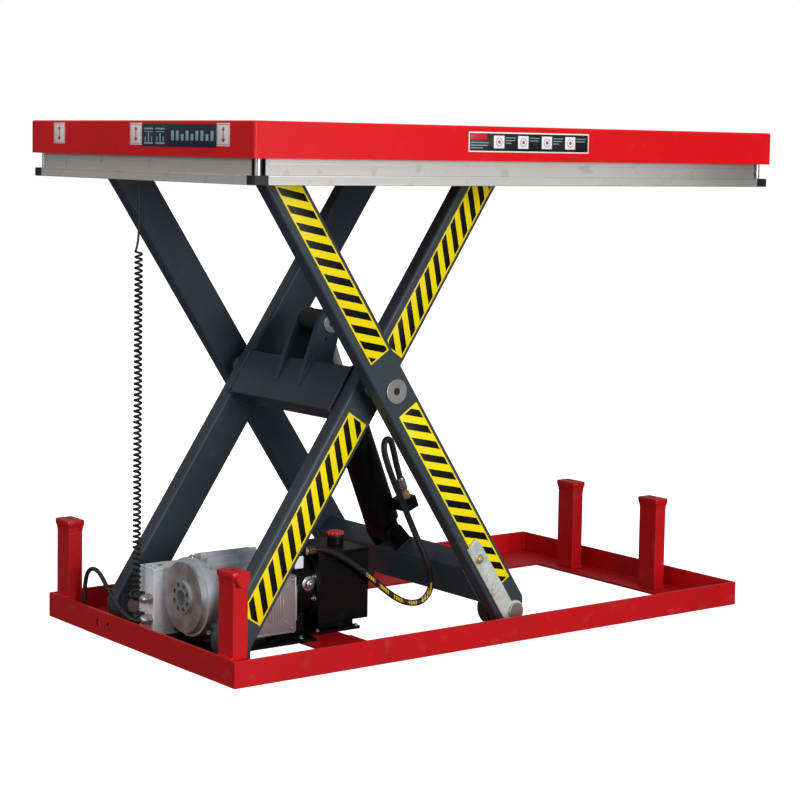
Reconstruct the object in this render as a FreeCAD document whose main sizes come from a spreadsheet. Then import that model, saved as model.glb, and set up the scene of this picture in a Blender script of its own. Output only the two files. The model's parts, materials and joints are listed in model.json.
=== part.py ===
"""Scissor lift table with a hydraulic power unit, raised.

Frame: origin on the floor under the middle of the platform, +X along the platform towards the
roller end, +Z up. -X is the fixed-pivot end, which carries the power unit. Millimetres.
"""

import FreeCAD, Part
import math
import os
import re

import Sketcher
from FreeCAD import Placement, Rotation, Vector

doc = FreeCAD.newDocument("ScissorLiftTable")

# ---------------------------------------------------------------- driving dimensions

SIZES = {
    # platform
    "platform_length": 1300, "platform_width": 830, "deck_thick": 5,
    "skirt_height": 66, "skirt_wall": 4, "deck_edge": 4,
    "rib_depth": 25, "rib_thick": 6,
    # scissor arms
    "lift_angle": 56.5, "arm_pitch": 1113.3, "arm_depth": 76, "arm_width": 36,
    "arm_wall": 5, "arm_edge": 6, "outer_face": 291, "inner_face": 215,
    "arm_end_front": 25, "arm_end_low": 28,
    "pin_radius": 15, "pin_clear": 0.05, "washer_radius": 24, "washer_thick": 4,
    "collar_radius": 20, "side_gap": 0.3,
    # rollers and their tracks
    "roller_radius": 40, "roller_width": 28, "roller_gap": 2.5, "rub_gap": 0.3,
    "track_thick": 4, "track_start": 30, "track_length": 582,
    # base frame
    "base_start": -640, "base_length": 1290, "base_width": 706, "base_height": 50, "base_wall": 6,
    "side_flange": 148, "left_flange": 135, "right_flange": 85, "pivot_inset": 93.8,
    "plate_thick": 8, "plate_half": 24, "cable_hole_radius": 9,
    "cross_plate_x": -345, "cross_plate_width": 110,
    # stand-off posts that carry the closed platform in transport
    "post_top": 208, "post_cap": 10, "post_lip": 3, "post_wall": 3,
    "left_post_length": 32, "left_post_width": 50, "left_post_gap": 13, "left_post_inset": 2,
    "right_post_length": 30, "right_post_width": 53, "right_post_x": 590,
    "right_post_y": 110, "boss_radius": 14,
    # cross members and the cylinder
    "beam_length": 100, "beam_depth": 50, "beam_start": -80, "beam_low": -8, "beam_wall": 6,
    "tube_length": 90, "tube_depth": 50, "tube_from_roller": 44,
    "eye_s": 103.5, "eye_n": 45.7, "foot_from_roller": 167, "foot_n": -19,
    "cheek_inner": 34, "cheek_thick": 12, "cheek_radius": 28,
    "stub_washer": 19, "eye_radius": 26, "eye_half": 30,
    "barrel_radius": 36, "barrel_bore": 30, "barrel_start": 24, "barrel_end": 262,
    "barrel_floor": 30, "gland_length": 14, "gland_radius": 39,
    "rod_radius": 22, "rod_clear": 0.3, "piston_start": 225, "piston_length": 25,
    "port_start": 44, "port_length": 26, "port_width": 46, "port_height": 32,
    "port_y": -74, "port_low": -52, "fitting_y": -62, "fitting_n": -36, "fitting_nut": 12,
    "foot_radius": 20, "foot_half": 26, "foot_pin": 12, "lug_gap": 2, "lug_thick": 12,
    # power unit
    "tray_thick": 6, "tray_front": -150, "tray_back": 60, "tray_lip": 10,
    "motor_y": -43, "motor_z": 102, "motor_x": -548,
    "motor_length": 168, "motor_core": 68, "motor_fin": 78, "motor_bore": 56,
    "fin_count": 20, "fin_thick": 3, "fin_start": 28, "crown_fin": 82,
    "flange_radius": 69, "flange_thick": 12, "hub_radius": 32, "hub_bore": 15,
    "shaft_radius": 9, "shaft_clear": 0.05, "rotor_radius": 52,
    "pump_radius": 60, "pump_length": 88, "pump_flange": 70, "pump_flange_thick": 12,
    "gear_outer": 17, "gear_width": 20, "gear_teeth": 12,
    "manifold_length": 37, "manifold_width": 82, "manifold_height": 46, "manifold_low": 148,
    "ferrule_length": 27, "ferrule_radius": 8,
    "tank_length": 124, "tank_y": -100, "tank_width": 140, "tank_top": 168, "tank_rise": 12,
    "tank_wall": 4, "neck_radius": 17, "neck_length": 12, "cap_radius": 20, "cap_height": 20,
    "control_x": -578, "control_y": 36, "control_length": 165, "control_width": 56,
    "control_top": 146, "control_wall": 4, "lid_thick": 6,
    "terminal_x": -470, "terminal_length": 103, "terminal_z": 30, "terminal_height": 113,
    "terminal_face": -150, "terminal_wall": 3, "cover_thick": 5,
    "gland_hex": 10, "gland_out": 24, "control_gland_y": 48, "spiral_gland_y": 76,
    "gland_low_z": 45, "gland_high_z": 86,
    # safety guard round the platform
    "guard_low": 907, "guard_lip": 17, "guard_length": 1290, "guard_width": 820,
    "guard_inset": 9, "guard_web": 3, "guard_top": 972, "corner_size": 28,
    "rod_dia": 12, "rod_inset": 15,
    # maintenance prop
    "prop_length": 190, "prop_width": 34, "prop_thick": 5, "prop_gap": 1.5,
    "prop_offset": 13, "prop_point": 16, "prop_nose": 5, "prop_heel": 7,
    # cords
    "connector_radius": 11, "hose_dia": 13, "lead_dia": 5, "coil_dia": 17.5,
    "coil_top": 770, "cable_dia": 9,
}

# Values that follow from the driving dimensions, as expressions.
DERIVED = {
    "half_pitch": "arm_pitch / 2",
    "low_z": "base_wall + rub_gap + roller_radius",
    "rise": "arm_pitch * sin(lift_angle)",
    "run": "arm_pitch * cos(lift_angle)",
    "high_z": "low_z + rise",
    "fixed_x": "base_start + pivot_inset",
    "mid_x": "fixed_x + run / 2",
    "mid_z": "low_z + rise / 2",
    "deck_under": "high_z + roller_radius + rub_gap",
    "deck_top": "deck_under + deck_thick",
    "skirt_low": "deck_top - skirt_height",
    "arm_half": "arm_depth / 2",
    "outer_inside": "outer_face - arm_width",
    "inner_inside": "inner_face - arm_width",
    "pin_hole": "pin_radius + pin_clear",
    "end_top_x": "half_pitch + (arm_end_front - arm_half * sin(lift_angle)) / cos(lift_angle)",
    "end_tip_x": "half_pitch + arm_end_front * cos(lift_angle) + arm_end_low * sin(lift_angle)",
    "end_tip_z": "arm_end_front * sin(lift_angle) - arm_end_low * cos(lift_angle)",
    "end_low_x": "half_pitch + (arm_end_low - arm_half * cos(lift_angle)) / sin(lift_angle)",
    "upper_roller_y": "inner_face + roller_gap",
    "lower_roller_y": "outer_inside - roller_gap - roller_width",
    "track_web_y": "upper_roller_y + roller_width + 3.5",
    "left_post_x": "base_start + base_wall + left_post_inset",
    "left_post_y": "base_width / 2 - base_wall - left_post_gap - left_post_width",
    "foot_s": "half_pitch - foot_from_roller",
    "eye_x": "mid_x + eye_s * cos(lift_angle) - eye_n * sin(lift_angle)",
    "eye_z": "mid_z + eye_s * sin(lift_angle) + eye_n * cos(lift_angle)",
    "foot_x": "mid_x + foot_s * cos(lift_angle) + foot_n * sin(lift_angle)",
    "foot_z": "mid_z - foot_s * sin(lift_angle) + foot_n * cos(lift_angle)",
    "eye_distance": "sqrt((eye_x - foot_x)^2 + (eye_z - foot_z)^2)",
    "cylinder_angle": "-atan2(eye_z - foot_z; eye_x - foot_x)",
    "tray_top": "base_wall + tray_thick",
    "fitting_end": "port_start + port_length + fitting_nut + 31",
    "pump_x": "motor_x + motor_length",
    "pump_flange_x": "pump_x + pump_length",
    "tank_x": "pump_flange_x + pump_flange_thick",
    "cap_x": "tank_x + 90",
    "cap_y": "tank_y + 70",
    "gear_pitch": "2 * gear_outer - 4.6",
    "guard_mid": "guard_low + guard_lip",
}

sheet = doc.addObject("Spreadsheet::Sheet", "Sizes")
for row, (alias, number) in enumerate(SIZES.items(), 1):
    sheet.set(f"A{row}", alias)
    sheet.set(f"B{row}", str(number))
    sheet.setAlias(f"B{row}", alias)
doc.recompute()

WORD = re.compile(r"[A-Za-z_][A-Za-z_0-9]*")


def expand(text):
    """Writes named sizes as sheet cells and derived values as their expressions."""
    def swap(match):
        word = match.group(0)
        if word in SIZES:
            return f"Sizes.{word}"
        if word in DERIVED:
            return f"({expand(DERIVED[word])})"
        return word
    return WORD.sub(swap, str(text))


def size(text):
    """The value of an expression on the sheet, in millimetres or degrees."""
    found = sheet.evalExpression(expand(text))
    return float(getattr(found, "Value", found))


# ---------------------------------------------------------------- building blocks

TURNS = {
    "z": Rotation(Vector(0, 0, 1), 0),
    "x": Rotation(Vector(0, 1, 0), 90),
    "y": Rotation(Vector(1, 0, 0), -90),
}


def place(thing, x=0, y=0, z=0, turn=None, tilt=None):
    """Sets a placement: bound coordinates, with a fixed turn or a bound tilt about +Y."""
    if tilt is not None:
        thing.Placement = Placement(Vector(0, 0, 0), Rotation(Vector(0, 1, 0), 10))
        thing.setExpression("Placement.Rotation.Angle", expand(tilt))
    elif turn is not None:
        thing.Placement = Placement(Vector(0, 0, 0), turn)
    for axis, text in (("x", x), ("y", y), ("z", z)):
        thing.setExpression(f"Placement.Base.{axis}", expand(text))
    return thing


def box(name, length, width, height, x=0, y=0, z=0):
    """A box from its lowest corner."""
    thing = doc.addObject("Part::Box", name)
    for prop, text in (("Length", length), ("Width", width), ("Height", height)):
        thing.setExpression(prop, expand(text))
    return place(thing, x, y, z)


def rod(name, radius, length, x=0, y=0, z=0, along="y"):
    """A cylinder from the middle of its first face."""
    thing = doc.addObject("Part::Cylinder", name)
    thing.setExpression("Radius", expand(radius))
    thing.setExpression("Height", expand(length))
    return place(thing, x, y, z, turn=TURNS[along])


def fuse(name, *things):
    """Joins touching solids into one."""
    thing = doc.addObject("Part::MultiFuse", name)
    thing.Shapes = list(things)
    thing.Refine = True
    return thing


def cut(name, base, *tools):
    """Takes tools away from a base."""
    thing = doc.addObject("Part::Cut", name)
    thing.Base = base
    thing.Tool = tools[0] if len(tools) == 1 else fuse(name + "_tools", *tools)
    thing.Refine = True
    return thing


def group(name, *things):
    """Holds separate solids together without joining them."""
    thing = doc.addObject("Part::Compound", name)
    thing.Links = list(things)
    return thing


def mirror(name, source):
    """The copy of a piece on the other side of the table's middle plane."""
    thing = doc.addObject("Part::Mirroring", name)
    thing.Source = source
    thing.Normal = Vector(0, 1, 0)
    return thing


def fillet(name, base, radius, wanted):
    """Rounds the edges of a base for which wanted(edge) holds."""
    doc.recompute()
    thing = doc.addObject("Part::Fillet", name)
    thing.Base = base
    reach = size(radius)
    edges = enumerate(base.Shape.Edges, 1)
    thing.Edges = [(index, reach, reach) for index, edge in edges if wanted(edge)]
    return thing


def fixed(sketch, index, end, x, z):
    """Fixes a sketch point at two bound coordinates."""
    for kind, text in (("DistanceX", x), ("DistanceY", z)):
        rule = Sketcher.Constraint(kind, -1, 1, index, end, size(text))
        number = sketch.addConstraint(rule)
        sketch.setExpression(f"Constraints[{number}]", expand(text))


def plate(name, points, thick, y=0):
    """A flat plate from its outline in X and Z, thickened towards +Y from y."""
    body = doc.addObject("PartDesign::Body", name)
    sketch = body.newObject("Sketcher::SketchObject", name + "_outline")
    faces = {feature.Role: feature for feature in body.Origin.OriginFeatures}
    sketch.AttachmentSupport = [(faces["XZ_Plane"], "")]
    sketch.MapMode = "FlatFace"
    corners = [Vector(size(x), size(z), 0) for x, z in points]
    for index, corner in enumerate(corners):
        following = corners[(index + 1) % len(corners)]
        sketch.addGeometry(Part.LineSegment(corner, following))
    for index in range(len(points)):
        rule = Sketcher.Constraint("Coincident", index, 2, (index + 1) % len(points), 1)
        sketch.addConstraint(rule)
    for index, (x, z) in enumerate(points):
        fixed(sketch, index, 1, x, z)
    pad = body.newObject("PartDesign::Pad", name + "_pad")
    pad.Profile = sketch
    pad.setExpression("Length", expand(thick))
    pad.Reversed = True
    return place(body, 0, y, 0)


NODES = []


def node(label, thing):
    """Names a finished sub-part, which becomes a file of the same name."""
    thing.Label = label
    NODES.append(thing)
    return thing


def on_outer(thing):
    """Stands a piece drawn along an arm on the outer arms: +x runs down to the roller."""
    return place(thing, "mid_x", 0, "mid_z", tilt="lift_angle")


def on_inner(thing):
    """Stands a piece drawn along an arm on the inner arms: +x runs up to the roller."""
    return place(thing, "mid_x", 0, "mid_z", tilt="-lift_angle")


def on_cylinder(thing):
    """Stands a piece drawn along the hydraulic cylinder: +x runs from its foot to its eye."""
    return place(thing, "foot_x", 0, "foot_z", tilt="cylinder_angle")


def long_edges(edge):
    """The straight edges that run along an arm."""
    ends = edge.Vertexes
    if len(ends) != 2 or edge.Curve.TypeId != "Part::GeomLine":
        return False
    line = ends[1].Point - ends[0].Point
    return abs(line.x) > 0.95 * line.Length and line.Length > 300


# ---------------------------------------------------------------- base frame

def side_rail(name):
    """A front angle: an upright wall with a flange inwards, which the rollers run on."""
    wall = box(name + "_wall", "base_length", "base_wall", "base_height",
               "base_start", "-base_width / 2")
    flange = box(name + "_flange", "base_length", "side_flange", "base_wall",
                 "base_start", "-base_width / 2")
    return fuse(name + "_angle", wall, flange)


def end_rail(name, side, reach):
    """An end angle between the side rails."""
    flange_y = "side_flange - base_width / 2"
    low_x = "base_start" if side < 0 else "base_start + base_length - base_wall"
    flange_x = "base_start" if side < 0 else f"base_start + base_length - {reach}"
    wall = box(name + "_wall", "base_wall", "base_width - 2 * base_wall",
               "base_height - base_wall", low_x, "base_wall - base_width / 2", "base_wall")
    flange = box(name + "_flange", reach, "base_width - 2 * side_flange", "base_wall",
                 flange_x, flange_y)
    return fuse(name + "_angle", wall, flange)


def base_frame():
    """Rails, cross plate and the cable holes in the left end."""
    front = node("front_rail", side_rail("front_rail"))
    node("back_rail", mirror("back_rail", front))
    holes = [rod(f"cable_hole_{y}", "cable_hole_radius", "base_wall + 2",
                 "base_start - 1", y, "base_height / 2", "x") for y in (105, 147)]
    left = cut("left_end", end_rail("left_end_rail", -1, "left_flange"), *holes)
    node("left_end_rail", left)
    node("right_end_rail", end_rail("right_end_rail", 1, "right_flange"))
    cross = box("cross_plate", "cross_plate_width", "base_width - 2 * side_flange",
                "base_wall", "cross_plate_x", "side_flange - base_width / 2")
    node("cross_plate", cross)


def post(name, length, width, x, y):
    """A tube post that stands on a flange and ends under its cap."""
    height = "post_top - post_cap - base_wall"
    outer = box(name + "_outer", length, width, height, x, y, "base_wall")
    inner = box(name + "_inner", f"{length} - 2 * post_wall", f"{width} - 2 * post_wall",
                height, f"{x} + post_wall", f"{y} + post_wall", "base_wall")
    return cut(name, outer, inner)


def post_cap(name, length, width, x, y):
    """A cap a little wider than its post, with a slot in its top."""
    low = "post_top - post_cap"
    top = box(name + "_top", f"{length} + 2 * post_lip", f"{width} + 2 * post_lip",
              "post_cap", f"{x} - post_lip", f"{y} - post_lip", low)
    slot = box(name + "_slot", f"{length} / 4", f"{width} / 3", 3,
               f"{x} + {length} * 3 / 8", f"{y} + {width} / 3", "post_top - 2")
    return cut(name, top, slot)


def posts():
    """Four posts with their caps."""
    left_x = "left_post_x"
    places = {
        "left": ("left_post_length", "left_post_width", left_x,
                 "-left_post_y - left_post_width"),
        "right": ("right_post_length", "right_post_width", "right_post_x",
                  "-right_post_y - right_post_width"),
    }
    tubes, caps = [], []
    for side, where in places.items():
        tubes.append(post(f"{side}_post", *where))
        caps.append(post_cap(f"{side}_cap", *where))
        tubes.append(mirror(f"{side}_post_back", tubes[-1]))
        caps.append(mirror(f"{side}_cap_back", caps[-1]))
    boss = rod("post_boss", "boss_radius", 8, f"{left_x} + left_post_length / 2",
               "-left_post_y - left_post_width - post_lip - 8",
               "post_top - boss_radius", "y")
    caps[0] = fuse("left_cap_boss", caps[0], boss)
    node("corner_posts", group("corner_posts", *tubes))
    node("post_caps", group("post_caps", *caps))


def base_pivots():
    """Plates and pins that hold the inner arms' lower ends."""
    height = "low_z + plate_half - base_wall"
    plates = []
    for index, y in enumerate(("-inner_face - 2 - plate_thick", "-inner_inside + 2")):
        blank = box(f"base_plate_{index}", "2 * plate_half", "plate_thick", height,
                    "fixed_x - plate_half", y, "base_wall")
        hole = rod(f"base_plate_hole_{index}", "pin_radius", "plate_thick + 2",
                   "fixed_x", f"{y} - 1", "low_z")
        plates.append(cut(f"base_plate_cut_{index}", blank, hole))
        plates.append(mirror(f"base_plate_back_{index}", plates[-1]))
    pin = rod("base_pin", "pin_radius", "arm_width + 2 * plate_thick + 10",
              "fixed_x", "-inner_face - 5 - plate_thick", "low_z")
    pins = [pin, mirror("base_pin_back", pin)]
    node("base_pivot_brackets", group("base_pivot_brackets", *plates))
    node("base_pivot_pins", group("base_pivot_pins", *pins))


# ---------------------------------------------------------------- scissor arms

def hollow(name, solid, start, end):
    """Takes the inside of a rectangular tube out of an arm."""
    inside = box(name + "_inside", f"{end} - ({start})", "arm_width - 2 * arm_wall",
                 "arm_depth - 2 * arm_wall", start, "arm_wall", "arm_wall - arm_half")
    return cut(name + "_tube", solid, inside)


def arm_holes(name, spots):
    """Pin holes through an arm drawn from y = 0 to arm_width."""
    return [rod(f"{name}_hole_{index}", radius, "arm_width + 2", x, -1, 0)
            for index, (x, radius) in enumerate(spots)]


def outer_arm(side):
    """An outer arm: round at the platform end, cut off square to the floor at the roller."""
    name = f"outer_arm_{side}"
    points = [("-half_pitch", "arm_half"), ("end_top_x", "arm_half"),
              ("end_tip_x", "end_tip_z"), ("end_low_x", "-arm_half"),
              ("-half_pitch", "-arm_half")]
    blank = plate(name + "_blank", points, "arm_width")
    round_end = rod(name + "_end", "arm_half", "arm_width", "-half_pitch")
    solid = fillet(name + "_solid", fuse(name + "_join", blank, round_end),
                   "arm_edge", long_edges)
    tube = hollow(name, solid, "pin_radius * 2 - half_pitch", "half_pitch - pin_radius * 2")
    holes = arm_holes(name, (("-half_pitch", "pin_hole"), (0, "pin_radius"),
                             ("half_pitch", "pin_radius")))
    return cut(name, tube, *holes)


def inner_arm(side):
    """An inner arm, round at both ends."""
    name = f"inner_arm_{side}"
    blank = box(name + "_blank", "arm_pitch", "arm_width", "arm_depth",
                "-half_pitch", 0, "-arm_half")
    ends = [rod(f"{name}_end_{x[0]}", "arm_half", "arm_width", x)
            for x in ("-half_pitch", "half_pitch")]
    solid = fillet(name + "_solid", fuse(name + "_join", blank, *ends),
                   "arm_edge", long_edges)
    tube = hollow(name, solid, "pin_radius * 2 - half_pitch", "half_pitch - pin_radius * 2")
    holes = arm_holes(name, (("-half_pitch", "pin_hole"), (0, "pin_hole"),
                             ("half_pitch", "pin_radius")))
    return cut(name, tube, *holes)


def arms():
    """The four arms, each pair parallel."""
    for side, outer_y, inner_y in (("front", "-outer_face", "-inner_face"),
                                   ("back", "outer_inside", "inner_inside")):
        arm = outer_arm(side)
        node(f"outer_arm_{side}", place(arm, "mid_x", outer_y, "mid_z", tilt="lift_angle"))
        arm = inner_arm(side)
        node(f"inner_arm_{side}", place(arm, "mid_x", inner_y, "mid_z", tilt="-lift_angle"))


def outer_pins():
    """Centre pins with collar and washer, and the lower roller axles."""
    center = fuse(
        "center_pin",
        rod("center_shaft", "pin_radius", "outer_face - inner_inside - 1", 0, "-outer_face"),
        rod("center_collar", "collar_radius", "outer_inside - inner_face - side_gap",
            0, "-outer_inside"),
        rod("center_washer", "washer_radius", "washer_thick", 0,
            "-outer_face - washer_thick"))
    center = cut("center_pin_screw", center,
                 rod("center_socket", 7, 6, 0, "-outer_face - washer_thick - 1"))
    prop_room = "prop_gap + prop_thick + 1"
    axle = fuse(
        "lower_axle",
        rod("lower_shaft", "pin_radius", "outer_face + 8 - lower_roller_y",
            "half_pitch", "-outer_face - 8"),
        rod("lower_nut", "pin_radius + 3", 4, "half_pitch",
            f"-outer_face - 4 - ({prop_room})"))
    pins = [center, axle]
    pins += [mirror(f"{pin.Name}_back", pin) for pin in pins]
    node("outer_arm_pins", on_outer(group("outer_arm_pins", *pins)))


def inner_pins():
    """Upper roller axles and the stub pins of the cylinder's clevis."""
    axle = rod("upper_axle", "pin_radius", "arm_width + roller_gap + roller_width + 1.5",
               "half_pitch", "-upper_roller_y - roller_width - 1.5")
    stub = fuse("clevis_stub",
                rod("stub_shaft", "pin_radius", "cheek_thick", "eye_s",
                    "-cheek_inner - cheek_thick", "eye_n"),
                rod("stub_head", "stub_washer", 5, "eye_s",
                    "-cheek_inner - cheek_thick - 5", "eye_n"))
    pins = [axle, stub]
    pins += [mirror(f"{pin.Name}_back", pin) for pin in pins]
    node("inner_arm_pins", on_inner(group("inner_arm_pins", *pins)))


def roller_pair(label, x, y, put):
    """Two rollers on one axis, each with its bore."""
    tyre = rod(label + "_tyre", "roller_radius", "roller_width", x, f"-({y}) - roller_width")
    bore = rod(label + "_bore", "pin_hole", "roller_width + 2", x,
               f"-({y}) - roller_width - 1")
    front = cut(label + "_front", tyre, bore)
    node(label, put(group(label, front, mirror(label + "_back", front))))


def cross_members():
    """The crossbeam and clevis of the inner arms, the cross tube and lugs of the outer ones."""
    outer = box("beam_outer", "beam_length", "2 * inner_inside", "beam_depth",
                "beam_start", "-inner_inside", "beam_low")
    inner = box("beam_inner", "beam_length - 2 * beam_wall", "2 * inner_inside",
                "beam_depth - 2 * beam_wall", "beam_start + beam_wall", "-inner_inside",
                "beam_low + beam_wall")
    node("crossbeam", on_inner(cut("crossbeam", outer, inner)))

    beam_end, beam_top = "beam_start + beam_length", "beam_low + beam_depth"
    points = [(beam_end, "beam_low"), ("eye_s + cheek_radius * 0.6", "eye_n - cheek_radius * 0.8"),
              ("eye_s - cheek_radius * 0.25", "eye_n + cheek_radius * 0.97"),
              ("beam_start + 40", f"{beam_top}"), (beam_end, beam_top)]
    cheek_y = "-cheek_inner - cheek_thick"
    cheek = fuse("cheek", plate("cheek_web", points, "cheek_thick", cheek_y),
                 rod("cheek_round", "cheek_radius", "cheek_thick", "eye_s", cheek_y, "eye_n"))
    cheek = cut("cheek_bored", cheek,
                rod("cheek_bore", "pin_radius", "cheek_thick + 2", "eye_s",
                    f"{cheek_y} - 1", "eye_n"),
                rod("cheek_hole", 3, "cheek_thick + 2", "eye_s - 32", f"{cheek_y} - 1",
                    "eye_n - 8"))
    node("clevis_cheeks", on_inner(group("clevis_cheeks", cheek, mirror("cheek_back", cheek))))

    start = "half_pitch - tube_from_roller - tube_length"
    outer = box("tube_outer", "tube_length", "2 * outer_inside", "tube_depth",
                start, "-outer_inside", "-arm_half")
    inner = box("tube_inner", "tube_length - 2 * beam_wall", "2 * outer_inside",
                "tube_depth - 2 * beam_wall", f"{start} + beam_wall", "-outer_inside",
                "beam_wall - arm_half")
    node("lower_cross_tube", on_outer(cut("lower_cross_tube", outer, inner)))

    points = [(start, "-arm_half"), (start, "foot_n + foot_radius + 6"),
              ("foot_s", "foot_n + foot_radius"), ("foot_s", "foot_n - foot_radius")]
    lug_y = "-foot_half - lug_gap - lug_thick"
    lug = fuse("lug", plate("lug_web", points, "lug_thick", lug_y),
               rod("lug_round", "foot_radius", "lug_thick", "foot_s", lug_y, "foot_n"))
    lug = cut("lug_bored", lug, rod("lug_bore", "foot_pin", "lug_thick + 2", "foot_s",
                                    f"{lug_y} - 1", "foot_n"))
    pin = rod("foot_pin_rod", "foot_pin", "2 * (foot_half + lug_gap + lug_thick) + 6",
              "foot_s", "-foot_half - lug_gap - lug_thick - 3", "foot_n")
    lugs = group("cylinder_lugs", lug, mirror("lug_back", lug), pin)
    node("cylinder_lugs", on_outer(lugs))


# ---------------------------------------------------------------- hydraulic cylinder

def cylinder():
    """Barrel, gland, port block and hose fitting; rod, piston and rod eye."""
    barrel = fuse(
        "barrel_solid",
        rod("barrel_tube", "barrel_radius", "barrel_end - barrel_start", "barrel_start",
            0, 0, "x"),
        rod("barrel_eye", "foot_radius", "2 * foot_half", 0, "-foot_half"),
        box("barrel_neck", "barrel_start + 1", "2 * foot_half", "2 * foot_radius",
            0, "-foot_half", "-foot_radius"))
    barrel = cut(
        "barrel_bored", barrel,
        rod("barrel_inside", "barrel_bore", "barrel_end - barrel_floor + 1",
            "barrel_floor", 0, 0, "x"),
        rod("barrel_foot_hole", "foot_pin + pin_clear", "2 * foot_half + 2", 0,
            "-foot_half - 1"))
    node("cylinder_barrel", on_cylinder(barrel))

    gland = cut(
        "gland_ring",
        rod("gland_nut", "gland_radius", "gland_length", "barrel_end", 0, 0, "x"),
        rod("gland_bore", "rod_radius + rod_clear", "gland_length + 2", "barrel_end - 1",
            0, 0, "x"))
    node("cylinder_gland", on_cylinder(gland))

    block = cut("port_body",
                box("port_box", "port_length", "port_width", "port_height", "port_start",
                    "port_y", "port_low"),
                rod("port_seat", "barrel_radius", "port_length + 16", "port_start - 8", 0, 0,
                    "x"))
    node("port_block", on_cylinder(block))
    fitting = fuse("fitting",
                   rod("fitting_nut", 9, "fitting_nut", "port_start + port_length",
                       "fitting_y", "fitting_n", "x"),
                   rod("fitting_body", 6, 10, "port_start + port_length + fitting_nut",
                       "fitting_y", "fitting_n", "x"),
                   rod("fitting_collar", 8.5, 21, "fitting_end - 21", "fitting_y",
                       "fitting_n", "x"))
    node("hose_fitting", on_cylinder(fitting))

    piston = rod("piston_disc", "barrel_bore - rod_clear", "piston_length",
                 "piston_start", 0, 0, "x")
    shaft = rod("rod_shaft", "rod_radius", "eye_distance - piston_start - piston_length",
                "piston_start + piston_length", 0, 0, "x")
    eye = rod("rod_eye", "eye_radius", "2 * eye_half", "eye_distance", "-eye_half")
    rod_parts = group("piston_rod", fuse("rod_solid", shaft, eye), piston)
    node("piston_rod", on_cylinder(rod_parts))


# ---------------------------------------------------------------- power unit

def gear_blank(name, phase):
    """A pump gear drawn round the X axis: a root disc with straight-flanked teeth."""
    teeth = int(size("gear_teeth"))
    disc = rod(name + "_root", "gear_outer - 5", "gear_width", 0, 0, 0, "x")
    parts = [disc]
    for index in range(teeth):
        tooth = doc.addObject("Part::Wedge", f"{name}_tooth_{index}")
        for prop, text in (("Xmin", 0), ("Xmax", "gear_width"), ("Ymin", 0), ("Ymax", 7),
                           ("Zmin", -2), ("Zmax", 2), ("X2min", 0), ("X2max", "gear_width"),
                           ("Z2min", -0.9), ("Z2max", 0.9)):
            tooth.setExpression(prop, expand(text))
        angle = 360 * index / teeth + phase
        turn = Rotation(Vector(1, 0, 0), angle)
        tooth.Placement = Placement(turn.multVec(Vector(0, size("gear_outer") - 7, 0)), turn)
        parts.append(tooth)
    return fuse(name, *parts)


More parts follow.
